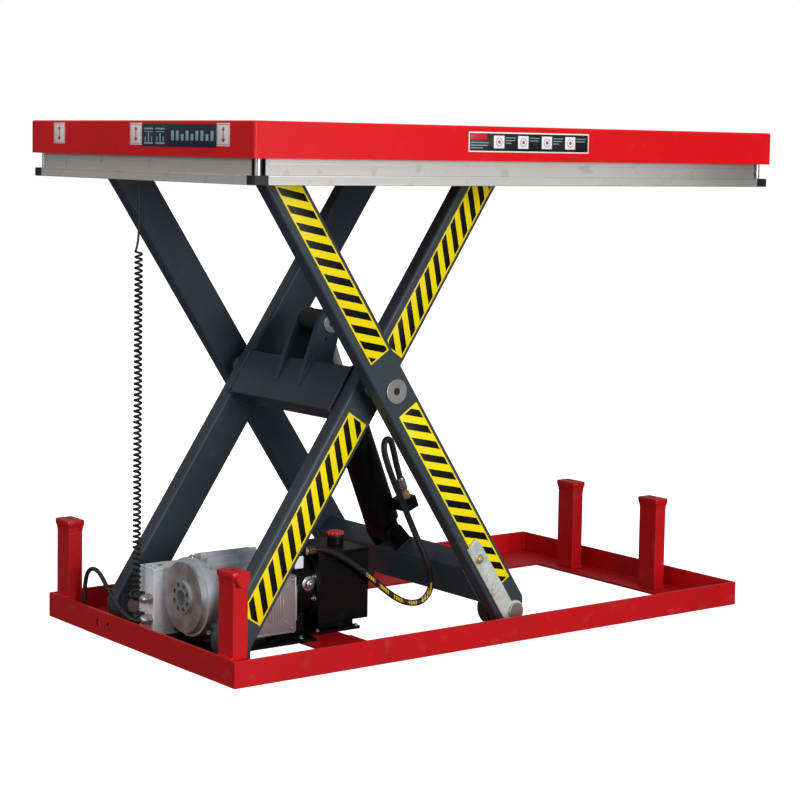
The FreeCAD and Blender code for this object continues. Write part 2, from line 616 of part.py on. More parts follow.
def motor():
    """Motor housing, end flange with its windowed hub, bearings, rotor and shaft."""
    core = rod("motor_core_body", "motor_core", "motor_length", "motor_x", "motor_y",
               "motor_z", "x")
    fins = []
    count = int(size("fin_count"))
    for index in range(count):
        angle = 360 * index / count
        reach = "crown_fin" if abs(angle - 90) < 45 else "motor_fin"
        fin = doc.addObject("Part::Box", f"motor_fin_{index}")
        fin.setExpression("Length", expand("motor_length - 40"))
        fin.setExpression("Width", expand(f"{reach} - motor_core + 3"))
        fin.setExpression("Height", expand("fin_thick"))
        turn = Rotation(Vector(1, 0, 0), angle)
        middle = Vector(0, size("motor_y"), size("motor_z"))
        offset = turn.multVec(Vector(size("motor_x + fin_start"), size("motor_core") - 3,
                                     -size("fin_thick") / 2))
        fin.Placement = Placement(middle + offset, turn)
        fins.append(fin)
    rings = [rod(f"motor_ring_{index}", f"motor_core + {extra}", 10,
                 f"motor_x + {start}", "motor_y", "motor_z", "x")
             for index, (start, extra) in enumerate(((0, 9), (10, 5), (158, 7)))]
    foot = box("motor_foot", 110, 90, "motor_z - motor_core + 6 - tray_top", "motor_x + 40",
               "motor_y - 45", "tray_top")
    solid = fuse("motor_solid", core, foot, *rings, *fins)
    inside = rod("motor_inside", "motor_bore", "motor_length - 16", "motor_x + 8",
                 "motor_y", "motor_z", "x")
    bore = rod("motor_shaft_hole", "shaft_radius + 8", "motor_length + 2",
               "motor_x - 1", "motor_y", "motor_z", "x")
    node("motor_housing", cut("motor_housing", solid, inside, bore))

    disc = fuse("flange_solid",
                rod("flange_disc", "flange_radius", "flange_thick",
                    "motor_x - flange_thick", "motor_y", "motor_z", "x"),
                rod("flange_hub", "hub_radius", "flange_thick + 5",
                    "motor_x - flange_thick - 5", "motor_y", "motor_z", "x"))
    windows = []
    for index in range(8):
        angle = 45 * index + 22.5
        window = doc.addObject("Part::Box", f"hub_window_{index}")
        window.setExpression("Length", expand("flange_thick + 2"))
        window.Width, window.Height = 8, 10
        turn = Rotation(Vector(1, 0, 0), angle)
        start = size("motor_x") - size("flange_thick") - 6
        middle = Vector(start, size("motor_y"), size("motor_z"))
        window.Placement = Placement(middle + turn.multVec(Vector(0, 20.5, -5)), turn)
        windows.append(window)
    bore = rod("hub_bore_hole", "hub_bore", "flange_thick + 7",
               "motor_x - flange_thick - 6", "motor_y", "motor_z", "x")
    node("motor_end_flange", cut("motor_end_flange", disc, bore, *windows))

    races = []
    for index, x in enumerate(("motor_x", "motor_x + motor_length - 8")):
        ring = rod(f"race_{index}", "shaft_radius + 8", 8, x, "motor_y", "motor_z", "x")
        hole = rod(f"race_hole_{index}", "shaft_radius + shaft_clear", 10, f"{x} - 1",
                   "motor_y", "motor_z", "x")
        races.append(cut(f"race_cut_{index}", ring, hole))
    node("motor_bearings", group("motor_bearings", *races))

    shaft = rod("rotor_shaft", "shaft_radius", "motor_length + 26", "motor_x - 4",
                "motor_y", "motor_z", "x")
    stack = rod("rotor_stack", "rotor_radius", "motor_length - 50", "motor_x + 25",
                "motor_y", "motor_z", "x")
    node("motor_rotor", fuse("motor_rotor", shaft, stack))


def terminals():
    """The box on the motor's side with its cover and four screws."""
    depth = "motor_y - motor_fin - terminal_face - cover_thick"
    shell = box("terminal_shell", "terminal_length", depth, "terminal_height",
                "terminal_x", "terminal_face + cover_thick", "terminal_z")
    inside = box("terminal_inside", "terminal_length - 2 * terminal_wall",
                 f"{depth} - terminal_wall", "terminal_height - 2 * terminal_wall",
                 "terminal_x + terminal_wall", "terminal_face + cover_thick",
                 "terminal_z + terminal_wall")
    node("terminal_box", cut("terminal_box", shell, inside))
    cover = box("terminal_lid", "terminal_length", "cover_thick", "terminal_height",
                "terminal_x", "terminal_face", "terminal_z")
    node("terminal_cover", cover)


def pump():
    """Pump body round its two gears, flange and the valve manifold above it."""
    case = fuse("pump_case",
                rod("pump_round", "pump_radius", "pump_length", "pump_x", "motor_y",
                    "motor_z", "x"),
                rod("pump_plate", "pump_flange", "pump_flange_thick", "pump_flange_x",
                    "motor_y", "motor_z", "x"),
                box("pump_foot", 60, 90, "motor_z - pump_radius + 8 - tray_top",
                    "pump_x + 14", "motor_y - 45", "tray_top"))
    room = []
    for index, drop in enumerate(("0", "gear_pitch")):
        room.append(rod(f"gear_room_{index}", "gear_outer + 0.3", "gear_width + 4",
                        "pump_x + 22", "motor_y", f"motor_z - ({drop})", "x"))
    room.append(rod("shaft_room", "shaft_radius + shaft_clear", 24, "pump_x - 1",
                    "motor_y", "motor_z", "x"))
    node("pump_body", cut("pump_body", case, *room))
    drive = gear_blank("drive_gear", 0)
    node("pump_drive_gear", place(drive, "pump_x + 24", "motor_y", "motor_z"))
    idler = gear_blank("idler_gear", 15)
    node("pump_idler_gear", place(idler, "pump_x + 24", "motor_y", "motor_z - gear_pitch"))

    block = box("manifold_block", "manifold_length", "manifold_width", "manifold_height",
                "pump_x + 16", "motor_y - manifold_width + 2", "manifold_low")
    seat = rod("manifold_seat", "pump_radius", 90, "pump_x", "motor_y", "motor_z", "x")
    plate_room = rod("manifold_plate_room", "pump_flange", 20, "pump_flange_x", "motor_y",
                     "motor_z", "x")
    x, y, z = HOSE[0]
    ferrule = rod("manifold_ferrule", "ferrule_radius", "ferrule_length",
                  f"{x} - ferrule_length", y, z, "x")
    body = cut("manifold_body", block, seat, plate_room)
    node("pump_manifold", fuse("pump_manifold", body, ferrule))


def tank():
    """Oil tank on the tray with its neck; the filler cap turns on the neck."""
    low = "tray_top + tank_rise"
    outer = box("tank_outer", "tank_length", "tank_width", f"tank_top - ({low})", "tank_x",
                "tank_y", low)
    inner = box("tank_inner", "tank_length - 2 * tank_wall", "tank_width - 2 * tank_wall",
                f"tank_top - ({low}) - 2 * tank_wall", "tank_x + tank_wall",
                "tank_y + tank_wall", f"{low} + tank_wall")
    neck = rod("tank_neck", "neck_radius", "neck_length + tank_wall", "cap_x", "cap_y",
               "tank_top - tank_wall", "z")
    bore = rod("tank_neck_bore", "neck_radius - 4", "neck_length + tank_wall + 2", "cap_x",
               "cap_y", "tank_top - tank_wall - 1", "z")
    foot = box("tank_foot", "tank_length - 40", "tank_width - 20", "tank_rise",
               "tank_x + 10", "tank_y + 10", "tray_top")
    node("oil_tank", cut("oil_tank", fuse("tank_solid", outer, neck, foot), inner, bore))
    cap = fuse("cap_solid",
               rod("cap_top", "cap_radius", "cap_height - 2", "cap_x", "cap_y",
                   "tank_top + neck_length + 0.3", "z"),
               rod("cap_plug", "neck_radius - 4.5", 10, "cap_x", "cap_y",
                   "tank_top + neck_length - 9", "z"))
    node("filler_cap", cap)
    wide = box("tray_wide", "pump_flange_x - 24 - control_x + 10", "tray_back - tray_front",
               "tray_thick", "control_x - 10", "tray_front", "base_wall")
    narrow = box("tray_narrow", "tank_length + 10", "tray_back - tank_y + tray_lip",
                 "tray_thick", "tank_x - 36", "tank_y - tray_lip", "base_wall")
    node("power_tray", fuse("power_tray", wide, narrow))


def control_box():
    """Electrical box with lid, relay, and the glands on its end."""
    low, high = "tray_top", "control_top - lid_thick"
    shell = box("control_shell", "control_length", "control_width", f"{high} - {low}",
                "control_x", "control_y", low)
    inside = box("control_inside", "control_length - 2 * control_wall",
                 "control_width - 2 * control_wall", f"{high} - {low}",
                 "control_x + control_wall", "control_y + control_wall",
                 f"{low} + control_wall")
    node("control_box", cut("control_box", shell, inside))
    node("control_box_lid", box("control_box_lid", "control_length", "control_width",
                                "lid_thick", "control_x", "control_y", high))
    relay = box("relay_block", 60, 34, 70, "control_x + 30", "control_y + 11",
                f"{low} + control_wall")
    coil = box("supply_coil", 45, 34, 50, "control_x + 100", "control_y + 11",
               f"{low} + control_wall")
    node("contactor", group("contactor", relay, coil))
    glands = []
    for index, (y, z) in enumerate((
            ("control_gland_y", "gland_low_z"), ("control_gland_y", "gland_high_z"),
            ("spiral_gland_y", "gland_low_z"), ("spiral_gland_y", "gland_high_z"))):
        nut = rod(f"gland_nut_{index}", "gland_hex", "gland_out - 8",
                  "control_x - gland_out + 8", y, z, "x")
        nose = rod(f"gland_nose_{index}", "gland_hex - 3", 8, "control_x - gland_out", y,
                   z, "x")
        glands.append(fuse(f"gland_{index}", nut, nose))
    node("cable_glands", group("cable_glands", *glands))


# ---------------------------------------------------------------- platform

def deck():
    """Deck plate with its skirt, ribs and roller tracks."""
    outer = box("deck_outer", "platform_length", "platform_width", "skirt_height",
                "-platform_length / 2", "-platform_width / 2", "skirt_low")
    inner = box("deck_inner", "platform_length - 2 * skirt_wall",
                "platform_width - 2 * skirt_wall", "skirt_height - deck_thick",
                "skirt_wall - platform_length / 2", "skirt_wall - platform_width / 2",
                "skirt_low")
    top = size("deck_top")
    corner = size("platform_length") / 2

    def outside(edge):
        middle = edge.CenterOfMass
        upright = abs(abs(middle.x) - corner) < 0.1 and len(edge.Vertexes) == 2 and (
            abs(edge.Vertexes[0].Z - edge.Vertexes[1].Z) > 1)
        return upright or abs(middle.z - top) < 0.1

    rounded = fillet("deck_round", outer, "deck_edge", outside)
    node("deck", cut("deck", rounded, inner))

    bars = []
    for index, x in enumerate((-480, -390, 250, 420)):
        bars.append(box(f"rib_{index}", "rib_thick", "2 * inner_inside - 20", "rib_depth",
                        x, "10 - inner_inside", "deck_under - rib_depth"))
    web = box("track_web", "track_length", "track_thick",
              "2 * (roller_radius + rub_gap)", "track_start",
              "-track_web_y - track_thick", "high_z - roller_radius - rub_gap")
    shelf = box("track_shelf", "track_length", "roller_width + 7.5", "track_thick",
                "track_start", "-track_web_y - track_thick",
                "high_z - roller_radius - rub_gap - track_thick")
    bars += [web, shelf, mirror("track_web_back", web), mirror("track_shelf_back", shelf)]
    node("deck_stiffeners", group("deck_stiffeners", *bars))


def deck_pivots():
    """Plates and pins that hold the outer arms' upper ends."""
    plates = []
    for index, y in enumerate(("-outer_face - 2 - plate_thick", "-outer_inside + 2")):
        blank = box(f"deck_plate_{index}", "2 * plate_half", "plate_thick",
                    "deck_under - high_z + plate_half", "fixed_x - plate_half", y,
                    "high_z - plate_half")
        hole = rod(f"deck_plate_hole_{index}", "pin_radius", "plate_thick + 2", "fixed_x",
                   f"{y} - 1", "high_z")
        plates.append(cut(f"deck_plate_cut_{index}", blank, hole))
        plates.append(mirror(f"deck_plate_back_{index}", plates[-1]))
    node("deck_pivot_brackets", group("deck_pivot_brackets", *plates))
    pin = rod("deck_pin", "pin_radius", "arm_width + 2 * plate_thick + 10", "fixed_x",
              "-outer_face - 5 - plate_thick", "high_z")
    node("deck_pivot_pins", group("deck_pivot_pins", pin, mirror("deck_pin_back", pin)))


def guard():
    """Aluminium trip frame under the skirt, its corner blocks, rods and switches."""
    lip = "guard_inset + guard_web"
    rails = []
    for side, (span, reach) in {"long": ("guard_length", "guard_width"),
                                "short": ("guard_width", "guard_length")}.items():
        inner = f"{span} - 2 * corner_size"
        sizes = {"long": lambda d: (inner, d), "short": lambda d: (d, inner)}[side]
        low_along, low_across = f"-({inner}) / 2", f"-{reach} / 2"

        def spot(shift):
            pair = (low_along, f"{low_across} + {shift}")
            return pair if side == "long" else pair[::-1]

        lower = box(f"guard_lip_{side}", *sizes(lip), "guard_lip", *spot("0"), "guard_low")
        upper = box(f"guard_web_{side}", *sizes("guard_web"), "guard_top - guard_mid",
                    *spot("guard_inset"), "guard_mid")
        rail = fuse(f"guard_rail_{side}", lower, upper)
        rails.append(rail)
        twin = doc.addObject("Part::Mirroring", f"guard_rail_{side}_far")
        twin.Source = rail
        twin.Normal = Vector(0, 1, 0) if side == "long" else Vector(1, 0, 0)
        rails.append(twin)
    node("guard_rails", group("guard_rails", *rails))

    blocks, rods = [], []
    for index, (sx, sy) in enumerate(((-1, -1), (1, -1), (-1, 1), (1, 1))):
        x = f"{sx} * (guard_length / 2 - corner_size / 2)"
        y = f"{sy} * (guard_width / 2 - corner_size / 2)"
        rod_x = f"{sx} * (guard_length / 2 - rod_inset)"
        rod_y = f"{sy} * (guard_width / 2 - rod_inset)"
        block = box(f"corner_block_{index}", "corner_size", "corner_size", "guard_lip",
                    f"{x} - corner_size / 2", f"{y} - corner_size / 2", "guard_low")
        hole = rod(f"corner_hole_{index}", "rod_dia / 2 + side_gap", "guard_lip + 2",
                   rod_x, rod_y, "guard_low + 2", "z")
        blocks.append(cut(f"corner_{index}", block, hole))
        rods.append(rod(f"guide_rod_{index}", "rod_dia / 2",
                        "deck_under - guard_mid + 0.3 + 2", rod_x, rod_y,
                        "guard_mid - 2.3", "z"))
    node("guard_corners", group("guard_corners", *blocks))
    node("guard_rods", group("guard_rods", *rods))

    cases, plungers = [], []
    plunger_y = "guard_width / 2 - guard_inset - guard_web / 2"
    for index, (x, sign) in enumerate(((-300, -1), (300, -1), (-300, 1), (300, 1))):
        y = f"{sign} * ({plunger_y})"
        case = box(f"switch_case_{index}", 30, 18, "deck_under - guard_top - 13",
                   x - 15, f"{y} - 9", "guard_top + 13")
        hole = rod(f"switch_hole_{index}", 1.6, 22, x, y, "guard_top + 12", "z")
        cases.append(cut(f"switch_{index}", case, hole))
        plungers.append(rod(f"plunger_{index}", 1.4, 18, x, y, "guard_top + 0.3", "z"))
    node("limit_switches", group("limit_switches", *cases))
    node("switch_plungers", group("switch_plungers", *plungers))


def safety_prop():
    """The pointed prop on the front roller axle, folded up along the outer arm."""
    near = "half_pitch"
    low = "-prop_offset - prop_width / 2"
    high = "prop_width / 2 - prop_offset"
    points = [(f"{near} - prop_length", f"{high} - prop_nose"),
              (f"{near} - prop_length + prop_point", high), (near, high),
              (f"{near} + 14", "0"), (near, low),
              (f"{near} - prop_length + prop_heel", low)]
    blade = fuse("prop_blade", plate("prop_plate", points, "prop_thick"),
                 rod("prop_boss", "pin_radius + 7", "prop_thick", near))
    bore = rod("prop_bore", "pin_hole", "prop_thick + 2", near, -1)
    prop = cut("safety_prop", blade, bore)
    y = "-outer_face - prop_gap - prop_thick"
    node("safety_prop", place(prop, "mid_x", y, "mid_z", tilt="lift_angle"))


# ---------------------------------------------------------------- cords

def tube(label, points, diameter):
    """A round tube along straight runs joined by the largest tangent arcs that fit."""
    corners = [Vector(*point) for point in points]
    edges, radii, start = [], [], corners[0]
    for before, corner, after in zip(corners, corners[1:], corners[2:]):
        inward, outward = (corner - before), (after - corner)
        shorter = min(inward.Length, outward.Length)
        inward.normalize()
        outward.normalize()
        turn = math.acos(max(-1.0, min(1.0, inward.dot(outward))))
        reach = 0.45 * shorter
        radii.append(reach / math.tan(turn / 2))
        first, last = corner - inward * reach, corner + outward * reach
        bisector = (outward - inward).normalize()
        centre = corner + bisector * (radii[-1] / math.cos(turn / 2))
        middle = centre - bisector * radii[-1]
        edges.append(Part.LineSegment(start, first).toShape())
        edges.append(Part.Arc(first, middle, last).toShape())
        start = last
    edges.append(Part.LineSegment(start, corners[-1]).toShape())
    length = sum(edge.Length for edge in edges)
    path = Part.Wire(edges)
    heading = (corners[1] - corners[0]).normalize()
    ring = Part.Wire(Part.Circle(corners[0], heading, diameter / 2).toShape())
    solid = path.makePipeShell([ring], True, False)
    section = math.pi * diameter ** 2 / 4
    print(f"{label}: {length:.0f} mm, smallest radius {min(radii):.1f}, "
          f"volume {solid.Volume / (section * length):.4f} of section times length")
    thing = doc.addObject("Part::Feature", label)
    thing.Shape = solid
    return node(label, thing)


HOSE = [(-300, -114, 180), (-282, -114, 180), (-245, -115, 165), (-207, -116, 141),
        (-168, -119, 113), (-134, -122, 84), (-104, -127, 61), (-74, -133, 48), (-44, -138, 50),
        (-30, -148, 77), (-43, -158, 112), (-60, -163, 149), (-73, -152, 187),
        (-79, -133, 223), (-84, -114, 258), (-92, -96, 296), (-101, -84, 334),
        (-106, -78, 362), (-101, -75, 380), (-87, -72.5, 382), (-77, -70, 366)]
HOSE_SPLIT = 10
MOTOR_CABLE = [(-470, -131, 92), (-494, -131, 92), (-516, -129, 80), (-528, -125, 58),
               (-532, -115, 35), (-530, -94, 20), (-525, -62, 18), (-524, -28, 18),
               (-528, 6, 21), (-528, 21, 22), (-528, 36, 22)]
CONTROL_CABLE = [(-602, 48, 45), (-614, 48, 45), (-623, 64, 52), (-623, 100, 66),
                 (-619, 136, 84), (-614, 170, 103), (-610, 200, 117), (-609, 228, 119),
                 (-609, 248, 106), (-610, 254, 84), (-612, 254, 58), (-612, 254, 36)]


def cords():
    """Hose, motor cable, control cable with its connector, and the spiral cord."""
    along = Vector(size("cos(cylinder_angle)"), 0, -size("sin(cylinder_angle)"))
    foot = Vector(size("foot_x"), 0, size("foot_z"))
    across = Vector(-along.z, 0, along.x)
    tip = foot + along * size("fitting_end") + across * size("fitting_n")
    tip.y = size("fitting_y")
    lead_in = tip + along * 24
    joint = (Vector(*HOSE[HOSE_SPLIT - 1]) + Vector(*HOSE[HOSE_SPLIT])) * 0.5
    tube("hose_lower", HOSE[:HOSE_SPLIT] + [joint], size("hose_dia"))
    tube("hose_upper", [joint] + HOSE[HOSE_SPLIT:] + [lead_in, tip], size("hose_dia"))
    tube("motor_cable", MOTOR_CABLE, size("cable_dia"))
    tube("control_cable", CONTROL_CABLE, size("cable_dia"))
    plug = rod("cable_connector", "connector_radius", f"{CONTROL_CABLE[-1][2]} - base_wall",
               CONTROL_CABLE[-1][0], CONTROL_CABLE[-1][1], "base_wall", "z")
    node("cable_connector", plug)
    x = "control_x - gland_out + 8"
    coil = rod("spiral_cord", "coil_dia / 2", "coil_top - gland_high_z - gland_hex - 0.5", x,
               "spiral_gland_y", "gland_high_z + gland_hex + 0.5", "z")
    lead = rod("spiral_lead", "lead_dia / 2", "deck_under - coil_top", x, "spiral_gland_y",
               "coil_top", "z")
    node("spiral_cord", coil)
    node("spiral_lead", lead)


# ---------------------------------------------------------------- assembly

def build():
    """Builds every sub-part in order."""
    base_frame()
    posts()
    base_pivots()
    arms()
    outer_pins()
    inner_pins()
    roller_pair("lower_rollers", "half_pitch", "lower_roller_y", on_outer)
    roller_pair("upper_rollers", "half_pitch", "upper_roller_y", on_inner)
    cross_members()
    cylinder()
    motor()
    terminals()
    pump()
    tank()
    control_box()
    deck()
    deck_pivots()
    guard()
    safety_prop()
    cords()
    doc.recompute()


def check():
    """Stops on a failed object or a sub-part that isn't a valid solid."""
    for thing in doc.Objects:
        bad = {"Invalid", "Error"} & set(thing.State)
        if bad:
            raise SystemExit(f"{thing.Label} failed: {sorted(bad)}")
    for thing in NODES:
        shape = thing.Shape
        if shape.isNull() or not shape.isValid() or not shape.Solids:
            raise SystemExit(f"{thing.Label} is not a valid solid")


def write():
    """Writes each sub-part to its own file."""
    os.makedirs("parts", exist_ok=True)
    for thing in NODES:
        thing.Shape.exportStep(f"parts/{thing.Label}.step")
    print(len(NODES), "sub-parts")


build()
check()
write()
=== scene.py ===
"""Scissor lift table with a hydraulic power unit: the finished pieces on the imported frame.

Metres, with the origin on the floor under the middle of the platform. +X runs to the roller
end of the table and +Z up. Every piece is drawn in its place in the raised table.
"""

import functools
import json
import logging
import math
from dataclasses import dataclass, field
from enum import Enum
from typing import Optional, Sequence, Union

import bmesh
import bpy
from mathutils import Matrix, Vector

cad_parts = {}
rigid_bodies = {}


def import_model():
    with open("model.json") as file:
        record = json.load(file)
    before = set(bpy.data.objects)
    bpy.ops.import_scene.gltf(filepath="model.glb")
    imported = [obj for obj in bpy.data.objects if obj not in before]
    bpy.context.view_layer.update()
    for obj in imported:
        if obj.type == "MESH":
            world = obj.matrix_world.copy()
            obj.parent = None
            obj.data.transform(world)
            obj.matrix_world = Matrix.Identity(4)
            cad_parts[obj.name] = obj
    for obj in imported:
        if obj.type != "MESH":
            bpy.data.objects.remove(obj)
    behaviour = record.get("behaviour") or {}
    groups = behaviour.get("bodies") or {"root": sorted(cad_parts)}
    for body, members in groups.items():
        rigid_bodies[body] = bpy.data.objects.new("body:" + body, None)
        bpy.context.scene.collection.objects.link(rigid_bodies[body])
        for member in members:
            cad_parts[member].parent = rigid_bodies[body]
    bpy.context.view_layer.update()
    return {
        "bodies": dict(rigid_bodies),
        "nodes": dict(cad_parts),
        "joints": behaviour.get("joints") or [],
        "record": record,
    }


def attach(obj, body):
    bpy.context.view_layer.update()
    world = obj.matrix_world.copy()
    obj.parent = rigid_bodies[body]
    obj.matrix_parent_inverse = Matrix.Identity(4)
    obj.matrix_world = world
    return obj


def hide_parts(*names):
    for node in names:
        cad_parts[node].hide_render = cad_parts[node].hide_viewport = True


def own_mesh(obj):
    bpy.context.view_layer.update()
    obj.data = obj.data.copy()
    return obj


LOG = logging.getLogger("lift_table")

Colour = tuple[float, float, float]
Numbers = Sequence[float]

SMOOTH_LIMIT = math.radians(35)
LIFT_ANGLE = math.radians(56.5)
PIVOT = Vector((-0.238964, 0.0, 0.510483))
MOTOR_AXIS = (-0.043, 0.102)
MILLIMETRE = 0.001
CREASE_LIMIT = math.radians(40)
FLAT_LIMIT = math.radians(0.5)
SAME_POINT = 2e-6


def mm(x: float, y: float, z: float) -> Vector:
    """A point given in millimetres."""
    return Vector((x, y, z)) * MILLIMETRE


def tint(red: int, green: int, blue: int) -> Colour:
    """The linear colour of a display colour from 0 to 255.

    Args:
        red: display red.
        green: display green.
        blue: display blue.

    Returns:
        Linear red, green and blue from 0 to 1.
    """
    def linear(level: int) -> float:
        """One channel in linear light."""
        share = level / 255
        return share / 12.92 if share <= 0.04045 else ((share + 0.055) / 1.055) ** 2.4

    return linear(red), linear(green), linear(blue)


# ------------------------------------------------------------------ shader graphs

class Signal:
    """A shader socket whose Python operators add Math nodes."""

    def __init__(self, graph: "Graph", socket: bpy.types.NodeSocket) -> None:
        """Keeps the socket and the graph that it belongs to."""
        self.graph = graph
        self.socket = socket

    def __add__(self, other: "Value") -> "Signal":
        """This plus a value."""
        return self.graph.math("ADD", self, other)

    __radd__ = __add__

    def __sub__(self, other: "Value") -> "Signal":
        """This less a value."""
        return self.graph.math("SUBTRACT", self, other)

    def __rsub__(self, other: "Value") -> "Signal":
        """A value less this."""
        return self.graph.math("SUBTRACT", other, self)

    def __mul__(self, other: "Value") -> "Signal":
        """This times a value."""
        return self.graph.math("MULTIPLY", self, other)

    __rmul__ = __mul__

    def __truediv__(self, other: "Value") -> "Signal":
        """This over a value."""
        return self.graph.math("DIVIDE", self, other)

    def __pow__(self, other: "Value") -> "Signal":
        """This to a power."""
        return self.graph.math("POWER", self, other)

    def __mod__(self, other: "Value") -> "Signal":
        """What is left of this over whole steps of a value."""
        return self.graph.math("FLOORED_MODULO", self, other)

    def __abs__(self) -> "Signal":
        """This without its sign."""
        return self.graph.math("ABSOLUTE", self)

    def __lt__(self, other: "Value") -> "Signal":
        """1 where this is less than a value."""
        return self.graph.math("LESS_THAN", self, other)

    def __gt__(self, other: "Value") -> "Signal":
        """1 where this is more than a value."""
        return self.graph.math("GREATER_THAN", self, other)

    def through(self, step: float) -> "Signal":
        """How far this is through its present step, from 0 to 1."""
        return (self % step) / step

    def between(self, low: float, high: float) -> "Signal":
        """A smooth step.

        Args:
            low: the value where the step starts.
            high: the value where it has reached 1.

        Returns:
            0 below low and 1 above high.
        """
        settings = {"interpolation_type": "SMOOTHSTEP"}
        inputs = {"Value": self, "From Min": low, "From Max": high}
        return self.graph.node("ShaderNodeMapRange", settings, inputs)


Value = Union[Signal, float]


class Graph:
    """The nodes of one material, with its surface shader in place."""

    def __init__(self, name: str) -> None:
        """Starts a material of that name with one Principled shader."""
        self.material = bpy.data.materials.new(name)
        self.material.use_nodes = True
        self.tree = self.material.node_tree
        self.shader = self.tree.nodes["Principled BSDF"]

    def node(self, kind: str, settings: Optional[dict] = None, inputs: Optional[dict] = None,
             output: Union[int, str] = 0) -> Signal:
        """Adds a node.

        Args:
            kind: the node's type.
            settings: its options, set first.
            inputs: values or signals of its sockets, by name or number.
            output: the socket that is returned.

        Returns:
            The output as a signal.
        """
        made = self.tree.nodes.new(kind)
        for name, value in (settings or {}).items():
            setattr(made, name, value)
        for key, value in (inputs or {}).items():
            if isinstance(value, Signal):
                self.tree.links.new(value.socket, made.inputs[key])
            else:
                made.inputs[key].default_value = value
        return Signal(self, made.outputs[output])

    def math(self, operation: str, *values: Value) -> Signal:
        """A Math node on one or two values."""
        return self.node("ShaderNodeMath", {"operation": operation}, dict(enumerate(values)))

    def place(self) -> Signal:
        """The place on the table, in metres."""
        return self.node("ShaderNodeTexCoord", output="Object")

    def axes(self) -> tuple[Signal, Signal, Signal]:
        """The place as three numbers."""
        apart = self.tree.nodes.new("ShaderNodeSeparateXYZ")
        self.tree.links.new(self.place().socket, apart.inputs[0])
        return tuple(Signal(self, socket) for socket in apart.outputs)

    def noise(self, scale: float, detail: float = 2.0, stretch: Numbers = (1, 1, 1),
              shift: Numbers = (0, 0, 0)) -> Signal:
        """A cloudy value.

        Args:
            scale: clouds to a metre.
            detail: how many finer layers it has.
            stretch: how much finer it is along each axis.
            shift: where the pattern starts.

        Returns:
            A signal about 0.5.
        """
        spot = self.node("ShaderNodeMapping", None,
                         {"Vector": self.place(), "Scale": stretch, "Location": shift})
        return self.node("ShaderNodeTexNoise", None,
                         {"Vector": spot, "Scale": scale, "Detail": detail})

    def mix(self, share: Value, first: Union[Signal, Colour],
            second: Union[Signal, Colour]) -> Signal:
        """A colour between two.

        Args:
            share: 0 for the first and 1 for the second.
            first: a colour or signal.
            second: a colour or signal.

        Returns:
            The mixed colour.
        """
        def ready(colour: Union[Signal, Colour]) -> Union[Signal, tuple]:
            """A colour as its socket takes it."""
            return colour if isinstance(colour, Signal) else (*colour, 1.0)

        return self.node("ShaderNodeMix", {"data_type": "RGBA"},
                         {0: share, 6: ready(first), 7: ready(second)}, output=2)

    def distance(self, spot: Numbers) -> Signal:
        """How far the place is from a spot, in metres."""
        return self.node("ShaderNodeVectorMath", {"operation": "DISTANCE"},
                         {0: self.place(), 1: spot}, output="Value")

    def bump(self, height: Signal, depth: float) -> Signal:
        """A normal raised by a height.

        Args:
            height: from 0 to 1.
            depth: the height of 1, in metres.

        Returns:
            The normal.
        """
        return self.node("ShaderNodeBump", None, {"Height": height, "Distance": depth})

    def surface(self, **sockets: Union[Value, Colour]) -> None:
        """Sets or links the shader's sockets, named with _ for a space."""
        for key, value in sockets.items():
            socket = self.shader.inputs[key.replace("_", " ")]
            if isinstance(value, Signal):
                self.tree.links.new(value.socket, socket)
            elif isinstance(value, tuple):
                socket.default_value = (*value, 1.0)
            else:
                socket.default_value = value


# ------------------------------------------------------------------ finishes

@dataclass(frozen=True)
class Finish:
    """What every finish has: a name, a slot name that is not used here, a colour and a roughness.
    """

    name: str
    slot: str
    colour: Colour
    roughness: float = 0.5

    def shade(self, graph: Graph) -> None:
        """Fills the graph; each kind of finish has its own."""
        raise NotImplementedError


@functools.lru_cache(maxsize=None)
def material(finish: Finish) -> bpy.types.Material:
    """The material of a finish, made once.

    Args:
        finish: the finish.

    Returns:
        Its material.
    """
    graph = Graph(finish.name)
    finish.shade(graph)
    return graph.material


@dataclass(frozen=True)
class Paint(Finish):
    """Sprayed or powder paint on steel."""

    shaded: Colour = (0.0, 0.0, 0.0)
    peel: float = 0.00012
    dust: float = 0.08
    coat: float = 0.25
    shine: float = 0.3

    def shade(self, graph: Graph) -> None:
        """Cloudy colour, fine orange peel, dust and a few chips."""
        cloud = graph.noise(5.0, 4.0).between(0.3, 0.7)
        scuff = graph.noise(38.0, 6.0, shift=(3, 1, 2)).between(0.56, 0.78)
        chip = graph.noise(150.0, 3.0, shift=(7, 2, 5)).between(0.76, 0.79)
        colour = graph.mix(cloud * 0.6, self.colour, self.shaded)
        colour = graph.mix(scuff * self.dust, colour, (0.45, 0.43, 0.41))
        colour = graph.mix(chip * 0.5, colour, (0.05, 0.04, 0.04))
        peel = graph.noise(620.0, 2.0)
        graph.surface(Base_Color=colour, Roughness=self.roughness + scuff * 0.18 + cloud * 0.05,
                      Specular_IOR_Level=self.shine,
                      Coat_Weight=self.coat, Coat_Roughness=0.16,
                      Normal=graph.bump(peel - chip, self.peel))


